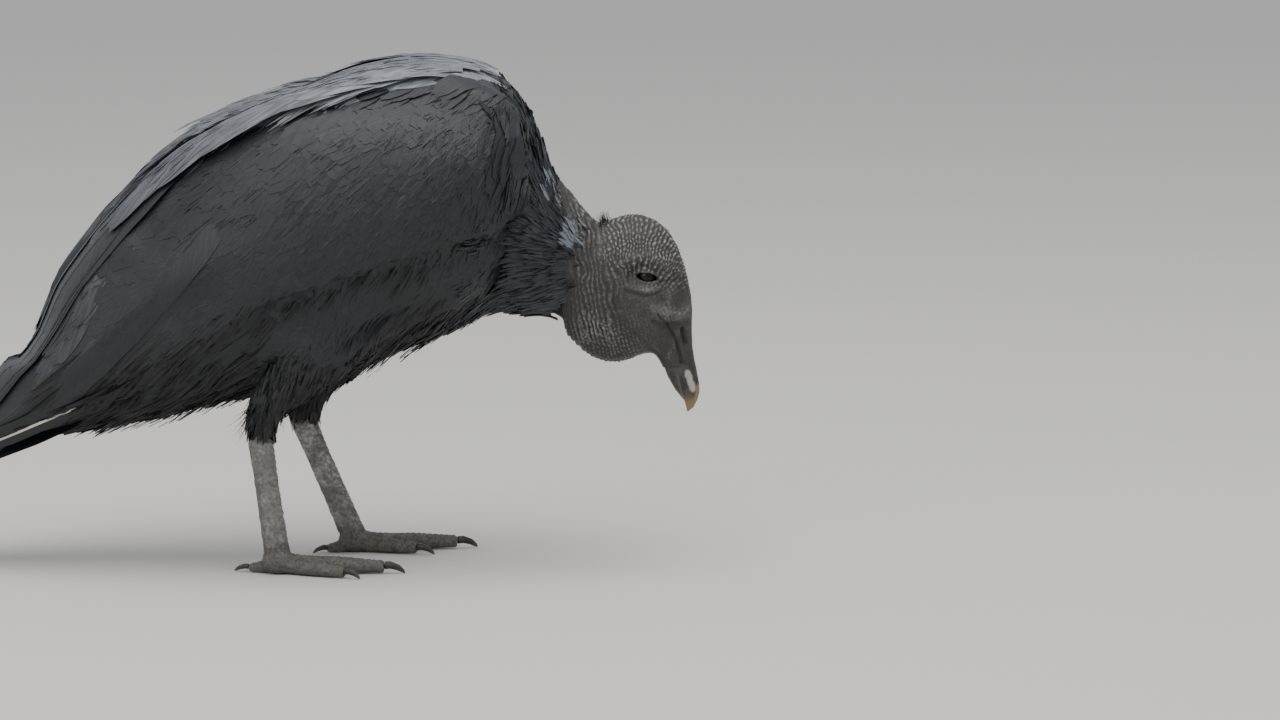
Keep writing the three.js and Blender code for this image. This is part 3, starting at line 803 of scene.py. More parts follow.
coatLayers = {
    "coverts": [
        dict(blade, seed=25, stations=7, spacing=13, length=(44, 56), half=12, across=4, ragged=0.1,
             lift=(-2.5, -1.6), thick=0.3, camber=0.02, roll=0.03, where={"x": (-196, -40), "wing": (-6, far)}),
        dict(blade, seed=26, stations=7, spacing=11, length=(40, 50), half=11, across=4, tipFrom=0.6,
             lift=(-1.5, -0.7), thick=0.25, camber=0.0, roll=0.015, where={"x": (-50, far), "wing": (-6, far)}),
        dict(blade, seed=20, stations=9, spacing=9.2, length=(44, 60), half=10.5, along=8, lift=(-1.1, 0.25),
             thick=0.18, camber=0.01, roll=0.02, where={"x": (-74, 26), "wing": (-4, far), "back": (-far, 5)}),
        dict(blade, seed=21, stations=6, spacing=6.6, length=(26, 36), half=6.8, along=5, lift=(-1.7, 0.1),
             thick=0.16, camber=0.01, roll=0.02, wrap=False,
             where={"x": (18, far), "wing": (-2, far), "back": (-far, 5)}),
        dict(tuft, seed=22, stations=6, spacing=9.4, length=(30, 46), half=5.5, ragged=0.45, lift=(-0.5, 0.46),
             fray=0.08, tilt=0.05, where={"x": (-40, far), "wing": (-12, far), "back": (-far, -8)}),
        dict(tuft, seed=28, stations=6, spacing=7.5, length=(20, 30), half=5, strips=7, lift=(-1.2, 0.8),
             fray=0.12, tilt=0.06, fill=2.0, where={"x": (84, far), "wing": (18, far), "back": (-far, 3)}),
    ],
    "breast": [
        dict(plume, seed=23, stations=7, spacing=9.0, length=(36, 50), half=7.5, strips=9, ragged=0.3, round=0.22,
             lift=(-2.6, 0.6), fray=0.4, sway=0.14, tilt=0.16, thick=0.26,
             where={"x": (-168, far), "wing": (-far, 6)}),
        dict(tuft, seed=27, stations=7, spacing=13, length=(24, 38), half=3, along=6, ragged=0.45, lift=(-2.6, 5.6),
             fray=1.2, sway=0.3, tilt=0.2, thick=0.2, where={"x": (-112, 96), "down": (0.45, far)}),
    ],
    "flank": [
        dict(plume, seed=24, stations=10, spacing=11, length=(60, 88), half=9, along=8, strips=10, ragged=0.25,
             round=0.22, lift=(-2.4, 1.2), fray=0.5, sway=0.12, tilt=0.14, thick=0.26,
             where={"x": (-98, 26), "z": (98, far), "wing": (-far, 40), "aside": (0.5, far)}),
    ],
    "rump": [dict(mantle, seed=43, where={"x": (-124, -48), "back": (-8, far)})],
    "mantle": [
        mantle,
        dict(tuft, seed=41, stations=8, spacing=9, length=(38, 56), half=5, along=6, lift=(-1.0, 0.0), fray=0.1,
             sway=0.12, tilt=0.05, thick=0.18, where=mantle["where"]),
        dict(tuft, seed=42, stations=8, spacing=9, length=(40, 60), half=5, along=6, lift=(1.2, 3.6), fray=0.15,
             tilt=0.06, thick=0.18, where={"x": (-60, 116), "back": (3, 13)}),
    ],
    "ruff": [
        dict(plume, seed=51, stations=5, spacing=5.6, length=(17, 26), half=4.4, along=4, strips=8, lift=(-2.4, 0.9),
             fray=0.45, sway=0.2, tilt=0.22, where={"x": (104, far), "z": (-far, 266)}, also=besideNeck),
        # these pale tufts are painted highlights, in the ruff's shaft colour
        dict(plume, seed=52, stations=5, spacing=4.0, length=(14, 21), half=3.4, ragged=0.3, lift=(-1.6, 1.0),
             fray=0.2, sway=0.2, tilt=0.12, thick=0.2, pale=0.6, where={"aside": (0.3, 0.97)}, also=paintedHighlightSpots),
    ],
    "thigh": [
        dict(plume, seed=60, stations=5, spacing=5.2, length=(12, 27), half=4.0, along=4, strips=7, ragged=0.55,
             lift=(-2.4, 0.8), fray=0.5, sway=0.2, tilt=0.22, fill=2.1, where={"z": (87, far)}),
    ],
}
# what is taken off the height over each sleeve: everywhere on the underside, and on the neck between values of z
coatSink = {"under": 3.4, "neckUnder": 1.7, "neckMiddle": (2.6, 192, 212, 228, 246), "neckTop": (1.8, 256, 272)}


def allowed(look, side):
    def test(point, normal):
        x, z = xOf(point), zOf(point)
        measures = {"x": x, "z": z, "aside": np.abs(normal[:, 1]), "down": -normal[:, 2]}
        for label, line in coatLines.items():
            measures[label] = z - np.interp(x, *np.transpose(line))
        kept = (point[:, 1] * side > 0) | (side == 0)
        for label, (low, high) in look["where"].items():
            kept &= (measures[label] > low) & (measures[label] < high)
        return kept & look["also"](point, normal) if "also" in look else kept

    return test


def layer(sleeve, look, flow, side):
    rng = np.random.default_rng(look["seed"] + side)
    s, a = sleeve.roots(look["spacing"] * mm, rng, allowed(look, side))
    length = rng.uniform(*look["length"], len(s)) * mm
    half = look["half"] * mm if look.get("wrap") else None
    lines, normals = sleeve.lay(s, a, length, look["stations"], flow, half, 5)
    flat, onNeck = lines.reshape(-1, 3), sleeve is neckSleeve
    swell = relief(flat) if sleeve is bodySleeve else 0.4 * ripple(flat, 9, 92)
    under = ease(0.25, 0.85, -normals.reshape(-1, 3)[:, 2])
    swell = swell - coatSink["neckUnder" if onNeck else "under"] * under
    if onNeck:
        z, (middle, *at), (top, low, high) = zOf(flat), coatSink["neckMiddle"], coatSink["neckTop"]
        swell = swell - middle * ease(at[0], at[1], z) * ease(at[3], at[2], z) - top * ease(low, high, z)
    lines = lines + normals * (swell * mm).reshape(lines.shape[:-1])[..., None]
    if sleeve is bodySleeve:
        lines = dropped(lines)
    return feathers(lines, normals, look, rng, sleeve.unwrap(s, a))


def dress(part, paint, sleeve, flow, name="", side=0):
    groups = [layer(sleeve, look, flow, side) for look in coatLayers[part]]
    finished(coatPiece(f"coat_{part}" + (name and "_" + name), groups, plumage[paint]), "plumage")


for name, side in sides.items():
    dress("coverts", "covert", bodySleeve, lieOf("wing", 20 + side), name, side)
    for part in ("breast", "flank"):
        dress(part, "contour", bodySleeve, lieOf("body", 20 + side), name, side)
# the rump and the mantle wear the mantle paint, whose pale grey is painted sheen
for part in ("rump", "mantle"):
    dress(part, "mantle", bodySleeve, lieOf("back", 41))
dress("ruff", "ruff", neckSleeve, lieOf("ruff", 50))
for name, side in sides.items():
    dress("thigh", "contour", thighSleeves[name], thighFlow, name, side)
print("coat laid")


# bristles and whiskers: tapered hairs stood on root points that carry their own direction
bristleLooks = {
    "nape": {"count": 90, "middle": 172, "along": 2.6, "across": 4.5, "over": 260, "back": 0.35,
             "length": (3.5, 7.0), "thick": 0.16, "bend": 0.25, "stray": 0.55, "seed": 3, "draw": 70},
    "whiskers": {"spacing": 3.4, "depth": 0.6, "length": (9, 19), "thick": 0.22, "bend": 0.18, "stray": 0.3,
                 "seed": 5, "draw": 72},
}


def makeBristleTree():
    tree, given, out = newGroup("bristles", {
        "Roots": "Geometry", "Shortest": "Float", "Longest": "Float", "Thickness": "Float", "Bend": "Float",
        "Stray": "Float", "Seed": "Int", "Material": "Material"}, {"Geometry": "Geometry"}, "Geometry")

    def grown(kind, links, output=0, **values):
        return tree.add("GeometryNode" + kind, links, **values).outputs[output]

    def drawn(kind, links):
        return tree.add("FunctionNodeRandomValue", dict(links, Seed=given["Seed"]), data_type=kind).outputs

    spike = grown("MeshCone", {"Vertices": 5, "Side Segments": 5, "Radius Top": 0.00003,
                               "Radius Bottom": given["Thickness"], "Depth": 1.0})
    height = tree.parts(grown("InputPosition", {}))[2]
    aside = tree.times(tree.times(tree.times(height, height), given["Bend"]), given["Longest"])
    bent = grown("SetPosition", {"Geometry": spike, "Offset": tree.combined(aside, 0.0, 0.0)})
    least = tree.times(given["Stray"], -1.0)
    stray = drawn("FLOAT_VECTOR", {0: tree.combined(*[least] * 3), 1: tree.combined(*[given["Stray"]] * 3)})[0]
    way = grown("InputNamedAttribute", {"Name": "way"}, data_type="FLOAT_VECTOR")
    aim = tree.vector("ADD", {0: way, 1: stray})
    turn = tree.add("FunctionNodeAlignRotationToVector", {"Vector": aim}, axis="Z").outputs[0]
    tall = drawn("FLOAT", {2: given["Shortest"], 3: given["Longest"]})[1]
    points = grown("MeshToPoints", {"Mesh": given["Roots"]})
    stood = grown("InstanceOnPoints", {"Points": points, "Instance": bent, "Rotation": turn,
                                       "Scale": tree.combined(1.0, 1.0, tall)})
    real = grown("RealizeInstances", {0: stood})
    tree.join(grown("SetMaterial", {"Geometry": real, "Material": given["Material"]}), out[0])
    return tree.inner


bristleTree = makeBristleTree()


def bristles(name, roots, ways, look, bakeAt):
    mesh = bpy.data.meshes.new(name + "_roots")
    mesh.from_pydata(roots.tolist(), [], [])
    mesh.attributes.new("way", "FLOAT_VECTOR", "POINT").data.foreach_set("vector", ways.astype(np.float32).ravel())
    lump = placed(name + "_roots", mesh)
    grow = lump.modifiers.new("bristles", "NODES")
    grow.node_group = bristleTree
    values = {"Shortest": look["length"][0] * mm, "Longest": look["length"][1] * mm, "Thickness": look["thick"] * mm,
              "Bend": look["bend"], "Stray": look["stray"], "Seed": look["seed"], "Material": plumage["contour"]}
    for item in bristleTree.interface.items_tree:
        if item.name in values:
            grow[item.identifier] = values[item.name]
    grown = settled(lump)
    # each bristle's patch of the bake map lies at its root's place
    each = len(grown.vertices) // len(roots)
    step = np.tile(np.arange(each) / each - 0.5, len(roots))
    patch = np.repeat(bakeAt, each, axis=0) + 0.003 * np.stack((step, np.sin(step * 40) * 0.5), 1)
    loops = np.empty(len(grown.loops), np.int32)
    grown.loops.foreach_get("vertex_index", loops)
    grown.uv_layers.new(name="OFBake").data.foreach_set("uv", patch[loops].astype(np.float32).ravel())
    smoothed(grown)
    grown.name = name
    finished(placed(name, grown), "plumage")


def makeNapeTuft():
    look, head = bristleLooks["nape"], cadNodes["head"].data
    rng = np.random.default_rng(look["draw"])
    crown = BVHTree.FromPolygons([v.co[:] for v in head.vertices], [list(p.vertices) for p in head.polygons])
    roots, ways = [], []
    for x, y in zip(rng.normal(look["middle"], look["along"], look["count"]),
                    rng.normal(0, look["across"], look["count"])):
        place, normal = crown.ray_cast(Vector(spot(x, look["over"], y)), Vector((0, 0, -1)))[:2]
        if place:
            roots.append(place[:])
            ways.append((normal[0] - look["back"], normal[1], normal[2]))
    roots = np.array(roots)
    bristles("coat_nape_tuft", roots, np.array(ways), look, 0.5 + (roots[:, :2] - roots[:, :2].mean(0)) / 0.06)


def onShin(point, normal):
    return (zOf(point) > 84) & (zOf(point) < 96 - 8 * normal[:, 0]) & (normal[:, 0] < 0.15)


def makeWhiskers(name, side):
    look, sleeve = bristleLooks["whiskers"], thighSleeves[name]
    s, a = sleeve.roots(look["spacing"] * mm, np.random.default_rng(look["draw"] + side), onShin)
    point, normal = sleeve.read(s, a)[:2]
    ways = normal * 0.3 + (-0.12, 0, -1)
    bristles(f"coat_whiskers_{name}", point - normal * look["depth"] * mm, ways, look, sleeve.unwrap(s, a))


makeNapeTuft()
for name, side in sides.items():
    makeWhiskers(name, side)
print("bristles made")


# flight feathers: root and tip side-on in millimetres, and half width
wingQuills = {
    "primary": [((-74, 113), (-214, 52.5), 8.5), ((-72, 121), (-220, 51), 11), ((-68, 128), (-223, 53), 12),
                ((-64, 134), (-222, 56), 13)],
    "secondary": [((-66, 172), (-215, 55), 15), ((-62, 180), (-203, 61), 16), ((-58, 188), (-190, 68), 17),
                  ((-54, 194), (-176, 78), 18), ((-50, 200), (-162, 90), 18), ((-46, 206), (-148, 102), 18),
                  ((-42, 210), (-132, 116), 18), ((-38, 214), (-116, 130), 17), ((-34, 218), (-100, 145), 16)],
    "tertial": [((-92, 206), (-214, 64), 13), ((-86, 214), (-202, 78), 14), ((-80, 222), (-188, 96), 14),
                ((-72, 228), (-172, 116), 14), ((-64, 234), (-156, 136), 14), ((-56, 240), (-138, 154), 13)],
    "scapular": [((-34, 257), (-100, 190), 10), ((-22, 263), (-90, 200), 10), ((-8, 268), (-78, 214), 10),
                 ((8, 272), (-62, 232), 10), ((24, 276), (-42, 248), 10), ((44, 279), (-20, 261), 10),
                 ((62, 282), (2, 268), 9), ((84, 283), (22, 272), 9), ((102, 280), (42, 275), 8)],
}
# height of the root and of the middle over the wing's surface, and how far the lower edge stands over the upper
quillLayers = {"outermost": (-2.6, 1.2, 0.2), "primary": (-2.6, -1.3, 0.4), "secondary": (-2.6, -0.55, 0.55),
               "tertial": (-2.4, 0.45, 0.6), "scapular": (-1.6, 2.0, 0.7)}
quillLook = {"along": 26, "across": 8, "ragged": 0.01, "root": 0.6, "tipFrom": 0.68, "camber": 0.0, "thick": 0.25,
             "clear": 0.3}
scapularLook = dict(quillLook, along=18, ragged=0.05, root=0.5, tipFrom=0.5, thick=0.3, clear=0.45)
shaftLook = dict(quillLook, across=2, ragged=0, root=1.0, tipFrom=0.3, camber=0.35, thick=0.5, half=0.4, pale=0.03)
# the outermost primary shows its pale shaft
outermostLook = {"quill": {"clear": 0.7}, "shaft": {"clear": 0.7, "half": 0.95, "pale": 0.95}}
quillFit = {"stretch": 1.04, "stations": 27, "outer": 0.6, "shaftOver": 0.25, "goal": (0.028, 0.008), "perRow": 8}


def towards(root, tip):
    # heads for the tip's side-on place, and straight on once it is near
    general = unit(np.array((tip[0] - root[0], 0.0, tip[1] - root[1])))
    goal = spot(*tip)

    def flow(point, normal):
        gap = (goal - point) * (1, 0, 1)
        near = ease(*quillFit["goal"], np.linalg.norm(gap, axis=1))[:, None]
        return unit(gap) * (1 - near) + general * near + 1e-4

    return flow


def bakeIsland(index):
    perRow = quillFit["perRow"]
    return np.array([((index % perRow + 0.5) / perRow, (index // perRow + 0.5) / perRow)]), 0.9 / perRow


def wingFeathers(side):
    groups = {"quill": [], "mantle": []}
    rng = np.random.default_rng(80 + side)
    index = 0
    for kind, quills in wingQuills.items():
        for root, tip, half in quills:
            s, a = bodySleeve.nearest(*root, side)
            length = math.dist(root, tip) * quillFit["stretch"] * mm
            line, normal = bodySleeve.lay([s], [a], length, quillFit["stations"], towards(root, tip), half * mm)
            line = dropped(line)
            centre, size = bakeIsland(index)
            more = outermostLook if index == 0 else {"quill": {}, "shaft": {}}
            low, high, lean = quillLayers["outermost" if index == 0 else kind]
            look = dict(scapularLook if kind == "scapular" else quillLook, half=half, lift=(low, high),
                        lean=lean * side, outer=quillFit["outer"] if kind == "primary" else 1.0, **more["quill"])
            # the scapulars go with the mantle paint and its painted sheen
            made = groups["mantle" if kind == "scapular" else "quill"]
            made.append(feathers(line, normal, look, rng, centre, size))
            if kind != "scapular":
                over = quillFit["shaftOver"]
                shaft = {**shaftLook, "lift": (low + over, high + over), "ground": half, **more["shaft"]}
                made.append(feathers(line, normal, shaft, rng, centre, size * 0.1))
            index += 1
    return groups


for name, side in sides.items():
    groups = wingFeathers(side)
    finished(coatPiece(f"wing_quills_{name}", groups["quill"], plumage["quill"]), "flight_feathers",
             f"wing_secondaries_{name}", f"wing_primaries_{name}")
    finished(coatPiece(f"scapulars_{name}", groups["mantle"], plumage["mantle"]), "plumage")
print("wing feathers made")


# tail: a closed fan of twelve
tailLook = {"count": 12, "root": (-118, 92), "tip": (-215, 59.5), "rootHalf": 15, "tipHalf": 23, "half": 11,
            "arch": 4.5, "short": 9, "layer": 2.1, "overlap": 0.15, "lean": (0.33, 0.28, 0.9),
            "shaft": {"lift": (0.3, 0.3), "pale": 0.15}}


def makeTail():
    look = tailLook
    groups = []
    rng = np.random.default_rng(90)
    for k in range(look["count"]):
        across = k / (look["count"] - 1) * 2 - 1
        height = (1 - abs(across)) * look["layer"] + (look["overlap"] if across > 0 else 0)
        fall = height - look["arch"] * across ** 2
        root = spot(look["root"][0], look["root"][1] + fall, look["rootHalf"] * across)
        tip = spot(look["tip"][0] + look["short"] * across ** 2, look["tip"][1] + fall, look["tipHalf"] * across)
        t = np.linspace(0, 1, quillFit["stations"])[:, None]
        line = root * (1 - t) + tip * t
        normal = np.broadcast_to(unit(np.array(look["lean"]) * (1, across, 1)), line.shape)
        centre, size = bakeIsland(k)
        blade, shaft = dict(quillLook, half=look["half"], lift=(0, 0)), {**shaftLook, **look["shaft"]}
        for shape, share in ((blade, 1), (shaft, 0.1)):
            groups.append(feathers(line[None], normal[None], shape, rng, centre, size * share))
    finished(coatPiece("tail_feathers", groups, plumage["quill"]), "flight_feathers", "tail")


makeTail()
print("tail made")


# skin: the flesh solids melted into one
def meltedCopy(names, voxel, smoothing, cut=None, extra=()):
    parts = bmesh.new()
    for node in names:
        parts.from_mesh(cadNodes[node].data)
    bmesh.ops.remove_doubles(parts, verts=parts.verts, dist=1e-6)
    if cut:
        every = parts.verts[:] + parts.edges[:] + parts.faces[:]
        bmesh.ops.bisect_plane(parts, geom=every, plane_co=cut[0], plane_no=cut[1], clear_inner=True)
        bmesh.ops.holes_fill(parts, edges=[e for e in parts.edges if e.is_boundary], sides=0)
    for mesh in extra:
        parts.from_mesh(mesh)
    mesh = bpy.data.meshes.new("melt")
    parts.to_mesh(mesh)
    parts.free()
    lump = placed("melt", mesh)
    remesh = lump.modifiers.new("remesh", "REMESH")
    remesh.mode, remesh.voxel_size = "VOXEL", voxel * mm
    soften = lump.modifiers.new("smooth", "SMOOTH")
    soften.factor, soften.iterations = 0.5, smoothing
    result = settled(lump)
    smoothed(result)
    return result


def thinned(mesh, share):
    lump = placed("thin", mesh)
    lump.modifiers.new("thin", "DECIMATE").ratio = share
    return settled(lump)


# voxels and depths in millimetres; the neck is bare forward of one x, and the leg is cut at one z
skinLook = {"headVoxel": 0.5, "legVoxel": 0.8, "bodyVoxel": 4.0, "coatDepth": 4.0, "underDepth": 2.6, "bareFrom": 144,
            "kneeCut": 90, "headShare": 0.42, "legShare": 0.4}

eyeLook = {
    "centre": eyeAt, "depth": 12.8, "radius": 6.0, "rings": 36, "around": 56, "facing": (0.22, -0.10),
    "cornea": (3.9, 0.35), "slack": 0.06,
    "opening": (6.3, 2.1, 2.6),  # half width, and heights above and below the middle
    "slope": -9, "orbit": (14.5, 10.5), "brim": 5.1, "lid": 0.85, "lidRings": 12, "lidAround": 72,
    "flesh": (20.2, -0.13, -0.075),  # how far out the skin of the orbit lies, and its steps with x and z
    # iris and white are darkened: painted shade of the lids and brow
    "iris": ((0.006, 0.0035, 0.0025), (0.016, 0.009, 0.006)), "irisRing": (4.0, 4.4),
    "pupil": (0.001, 0.001, 0.001), "pupilRing": (2.0, 2.25), "white": (0.008, 0.006, 0.005),
}


def makeLids(side):
    # a ring that hugs the eyeball round the slit and runs out under the skin of the orbit
    look = eyeLook
    rings, around = look["lidRings"], look["lidAround"]
    t = np.linspace(0, 1, rings)[:, None]
    turn = np.linspace(0, tau, around, endpoint=False)[None]
    wide, over, under = look["opening"]
    slitZ = np.where(np.sin(turn) > 0, over, under) * np.sin(turn) * (1 - 0.3 * np.cos(turn) ** 2)
    slitX, slitZ = turned(wide * np.cos(turn), slitZ, look["slope"])
    x = slitX + (look["orbit"][0] * np.cos(turn) - slitX) * t
    z = slitZ + (look["orbit"][1] * np.sin(turn) - slitZ) * t
    ball = np.sqrt(np.maximum(look["radius"] ** 2 - np.hypot(x, z) ** 2, 0))
    ball = np.maximum(ball, look["brim"]) + 0.35 * np.exp(-((ball - look["brim"]) / 0.5) ** 2)
    flesh = look["flesh"][0] - look["depth"] + look["flesh"][1] * x + look["flesh"][2] * z
    blend = ease(0.2, 0.95, t + 0 * x)
    top = (ball + look["lid"]) * (1 - blend) + (flesh - 0.8) * blend + 0.25 * np.exp(-(t / 0.12) ** 2)
    bottom = np.where(t < 0.02, ball + 0.12, top - 1.0 - 3.6 * t)
    verts = [np.stack((x * mm, (look["depth"] + height) * mm * side, z * mm), 2) + spot(*look["centre"])
             for height in (top, bottom)]
    size, last = rings * around, (rings - 1) * around
    wall = ringQuads(rings, around)
    j = np.arange(around)
    k = (j + 1) % around
    ends = np.stack((k, j, size + j, size + k, last + j, last + k, size + last + k, size + last + j), 1)
    quads = np.concatenate((np.stack((wall, size + wall[:, ::-1]), 1).reshape(-1, 4), ends.reshape(-1, 4)))
    mesh = bpy.data.meshes.new("lids")
    mesh.from_pydata(np.reshape(verts, (-1, 3)).tolist(), [], (quads if side < 0 else quads[:, ::-1]).tolist())
    return mesh


# side-on paths of the face's folds: path, width, height, how much paler, all in millimetres but the last; paler
# raised folds are painted light, darker creases painted shade
faceFolds = {
    "brow": ([(183, 172.5), (190, 176.2), (198, 177.2), (206, 174.4), (212.5, 169)], 3.0, 1.5, 0.1),
    "upper_crease": ([(189, 168.8), (194, 172.2), (200, 172), (206, 167.4)], 0.8, -0.7, -0.35),
    "lower_bag": ([(187, 161.8), (193, 159.6), (200, 159), (205.5, 161)], 1.5, 0.75, 0.5),
    "under_bag": ([(185.5, 158.8), (193, 156.2), (201, 155.8), (207, 158)], 1.0, -0.6, -0.3),
    "second_bag": ([(186, 156), (194, 153.6), (203, 153)], 1.6, 0.35, 0.1),
    "front_crease": ([(204.2, 163), (209, 163.4), (214.5, 165.2), (219, 164.2)], 0.8, -0.8, -0.3),
    "over_crease": ([(206, 165.6), (211, 167), (216, 168), (220.5, 166.4)], 1.1, 0.5, 0.5),
    "upright": ([(212.4, 163), (210.6, 157), (210.2, 151)], 1.5, 0.7, 0.35),
    "cere_band": ([(202, 148.2), (208, 145.6), (215, 145), (222.5, 147.6)], 3.2, 1.15, 0.9),
    "cere_twist": ([(203, 143.6), (210, 141), (217, 141.8), (223, 143)], 1.4, 0.5, 0.35),
    "under_band": ([(201, 140.4), (208, 138), (215, 138.6)], 1.2, -0.7, -0.3),
    "jaw_edge": ([(216.2, 136), (213.4, 128), (210, 118.4)], 1.3, 0.7, 0.35),
    "mouth": ([(223.4, 97.6), (221.4, 104), (219, 110.2), (217.6, 116), (216.2, 122.4), (213.6, 131),
               (209, 139.4), (203.5, 145)], 0.75, -1.3, -0.5),
    "nostril": ([(217.6, 135.4), (218.9, 131), (220.0, 126.8)], 1.05, -2.2, -0.8),
    "nostril_rim": ([(219.9, 136), (221.2, 131.4), (222, 126.6)], 0.9, 0.4, 0.2),
    "ear": ([(180.6, 153), (181.4, 148.6)], 2.4, -1.3, -0.4),
    "ear_rim": ([(177.6, 155), (177.4, 148), (180.4, 144.6)], 1.3, 0.6, 0.2),
    "cheek": ([(186, 146), (196, 138), (204, 128)], 5.0, 0.7, 0.0),
    "jaw_crease": ([(190, 134), (199, 126), (206, 117)], 1.6, -0.8, -0.2),
}


# broad hollows of the face: centre, radii, depth in millimetres and how much darker, as painted shade in the hollow
faceHollows = {"lore": ((217.2, 157.6), (5, 7.5), 1.6, 0.5), "below_eye": ((206, 152), (7, 5), 0.9, 0.0)}


def foldedFace(mesh):
    points, normals = coords(mesh), normalsOf(mesh)
    side = ease(2.5, 6.5, np.abs(points[:, 1]) / mm)
    facing = clamp(np.abs(normals[:, 1]) * 1.6) * side
    beads = 0.5 + 0.5 * ripple(points, 1.7, 21)
    wander = points + np.stack((ripple(points, 5, 31), 0 * points[:, 0], ripple(points, 5, 32)), 1) * 0.7 * mm
    # paler gathers painted light on raised folds and painted shade in creases and hollows
    move, paler = np.zeros(len(points)), np.zeros(len(points))
    for path, width, height, pale in faceFolds.values():
        wave = ridge(wander, path, width) * (facing if height < 0 else np.maximum(facing, 0.25 * side))
        if height > 0:
            wave = wave * (0.65 + 0.6 * beads)
        move += wave * height
        paler += wave * pale
    for centre, radii, depth, dark in faceHollows.values():
        hollow = hump(points, centre, radii) * facing
        move -= depth * hollow
        paler -= dark * hollow
    setCoords(mesh, pushed(points, normals, move))
    return paler


def beaded(turns, along, spacing, seed, depth):
    # ridges, each one cut into beads that keep their own step along it
    which = np.round(turns / tau)
    start = lattice(np.stack((which, 0 * which, 0 * which), -1), seed)
    beads = 0.5 + 0.5 * np.cos((along / spacing + start) * tau)
    return (0.5 + 0.5 * np.cos(turns)) * (1 - depth + depth * beads)


# corrugations of the bare skin: beads cut into ridges, in millimetres
headLook = {
    "fan": (190, 146),  # the crown's ridges fan out from here
    # each region's edges in z and in x, ridges and beads, depth and paleness; the crown's high paleness is painted
    # sheen from the light above
    "crown": {"z": (158, 172), "x": (166, 178), "rays": 118, "spacing": 2.7, "cut": 0.6, "depth": 0.75, "pale": 1.3},
    "neck": {"z": (122, 136), "x": (176, 190), "width": 2.9, "spacing": 3.6, "cut": 0.4, "depth": 0.7, "pale": 0.36},
    "throat": {"z": (134, 148), "x": (186, 200), "width": 2.3, "spacing": 2.5, "cut": 0.75, "depth": 0.65,
               "pale": 0.36},
    "cere": {"z": (146, 138), "x": (200, 208), "pale": -0.1},
    "inner": (35, 27),  # nearer than this to the fan's middle the crown has half as many ridges
    # painted top light: from the first height to the second the skin grows paler towards the top of the head, by the
    # third
    "cheekDepth": 0.3, "level": 0.55, "paintedTopLight": (180, 198, 0.6), "ground": 0.2, "lids": ((7.5, 4.4), -9),
    "tuck": (14, 0.9, 7, 3.5), "neckway": ((140, 186), (160, 164), (146, 180)), "bare": (6, 17),
}


def makeHeadSkin():
    lids = [makeLids(side) for side in sides.values()]
    rear = skinLook["bareFrom"]
    mesh = meltedCopy(["head", "neck"], skinLook["headVoxel"], 8, (spot(rear, 0), (1, 0, 0)), lids)
    paler = foldedFace(mesh)
    points, normals = coords(mesh), normalsOf(mesh)
    x, z = xOf(points), zOf(points)
    look = headLook
    top, nape, gular = look["crown"], look["neck"], look["throat"]
    # corrugations of the crown fan out from below the eye, those of the neck stand upright
    dx, dz = x - look["fan"][0], z - look["fan"][1]
    fan, reach = np.arctan2(dx, dz), np.hypot(dx, dz)
    fan = fan + (ripple(points, 8, 3) * 1.6 + ripple(points, 2.8, 4) * 0.8) / np.maximum(reach, 18)
    near = ease(*look["inner"], reach)
    stray = 1.1 * ripple(points, 4, 11)
    outer, inner = (beaded(fan * rays, reach + stray, top["spacing"], seed, top["cut"])
                    for rays, seed in ((top["rays"], 5), (top["rays"] / 2, 6)))
    beads = clamp(0.5 + 0.75 * ripple(points, 1.5, 5))
    upright = x + 0.16 * z + ripple(points, 9, 6) * 2.4 + ripple(points, 3, 7) * 0.9
    neckFold = beaded(upright * tau / nape["width"], z + stray, nape["spacing"], 7, nape["cut"])
    pebbles = beaded((x + 0.3 * z) * tau / gular["width"] + 2.6 * ripple(points, 5, 8), z + 1.5 * stray,
                     gular["spacing"], 8, gular["cut"])
    crown = ease(*top["z"], z + 0.3 * dx) * ease(*top["x"], x)
    neckSide = (1 - ease(*nape["x"], x)) * ease(*nape["z"], z) * (1 - crown)
    throat = (1 - ease(*gular["z"], z)) * (1 - ease(*gular["x"], x))
    cere = ease(*look["cere"]["z"], z) * ease(*look["cere"]["x"], x)
    cheek = clamp(1 - crown - neckSide - throat)
    fold = crown * (outer * (1 - near) + inner * near) * (0.7 + 0.3 * beads)
    fold += neckSide * neckFold * (0.6 + 0.4 * beads)
    fold += throat * pebbles + cheek * (0.42 + 0.35 * pebbles)
    fine = 1 - 0.85 * ease(0.15, 0.6, hump(points, eyeAt, *look["lids"]))
    depth = top["depth"] * crown + nape["depth"] * neckSide + gular["depth"] * throat
    depth = (depth + look["cheekDepth"] * cheek * (1 - 0.5 * cere)) * fine
    points = pushed(points, normals, (clamp(fold) - look["level"]) * depth)
    fold = fold * fine + 0.45 * (1 - fine)
    pale = look["ground"] + top["pale"] * crown + nape["pale"] * neckSide + gular["pale"] * throat
    # painted top light: paler towards the top of the head
    low, high, more = look["paintedTopLight"]
    pale = (pale + more * ease(low, high, z)) * (0.8 + 0.4 * ripple(points, 14, 9))
    pale = pale + paler * 0.8 + look["cere"]["pale"] * cere
    # the rear end tucks in under the neck's feathers
    (reachIn, share, reachEnd, more), (start, end, middle) = look["tuck"], (spot(*at) for at in look["neckway"])
    tuck = (1 - ease(rear, rear + reachIn, x)) * skinLook["coatDepth"] * share
    tuck = tuck + (1 - ease(rear, rear + reachEnd, x)) * more
    ahead = unit(end - start)
    outward = points - middle
    outward = outward - (outward @ ahead)[:, None] * ahead
    reach = np.linalg.norm(outward, axis=1)
    setCoords(mesh, points - unit(outward) * np.minimum(tuck * mm, reach * 0.9)[:, None])
    # painted shade: the skin darkens towards the rear, where the neck's feathers lie over it
    pale = pale * ease(*(rear + step for step in look["bare"]), x + ripple(points, 4, 10))
    setValue(mesh, "fold", clamp(fold))
    setValue(mesh, "pale", np.clip(pale, 0.0, 1.6))
    painted(mesh, skinCoats["head"])
    return thinned(mesh, skinLook["headShare"])


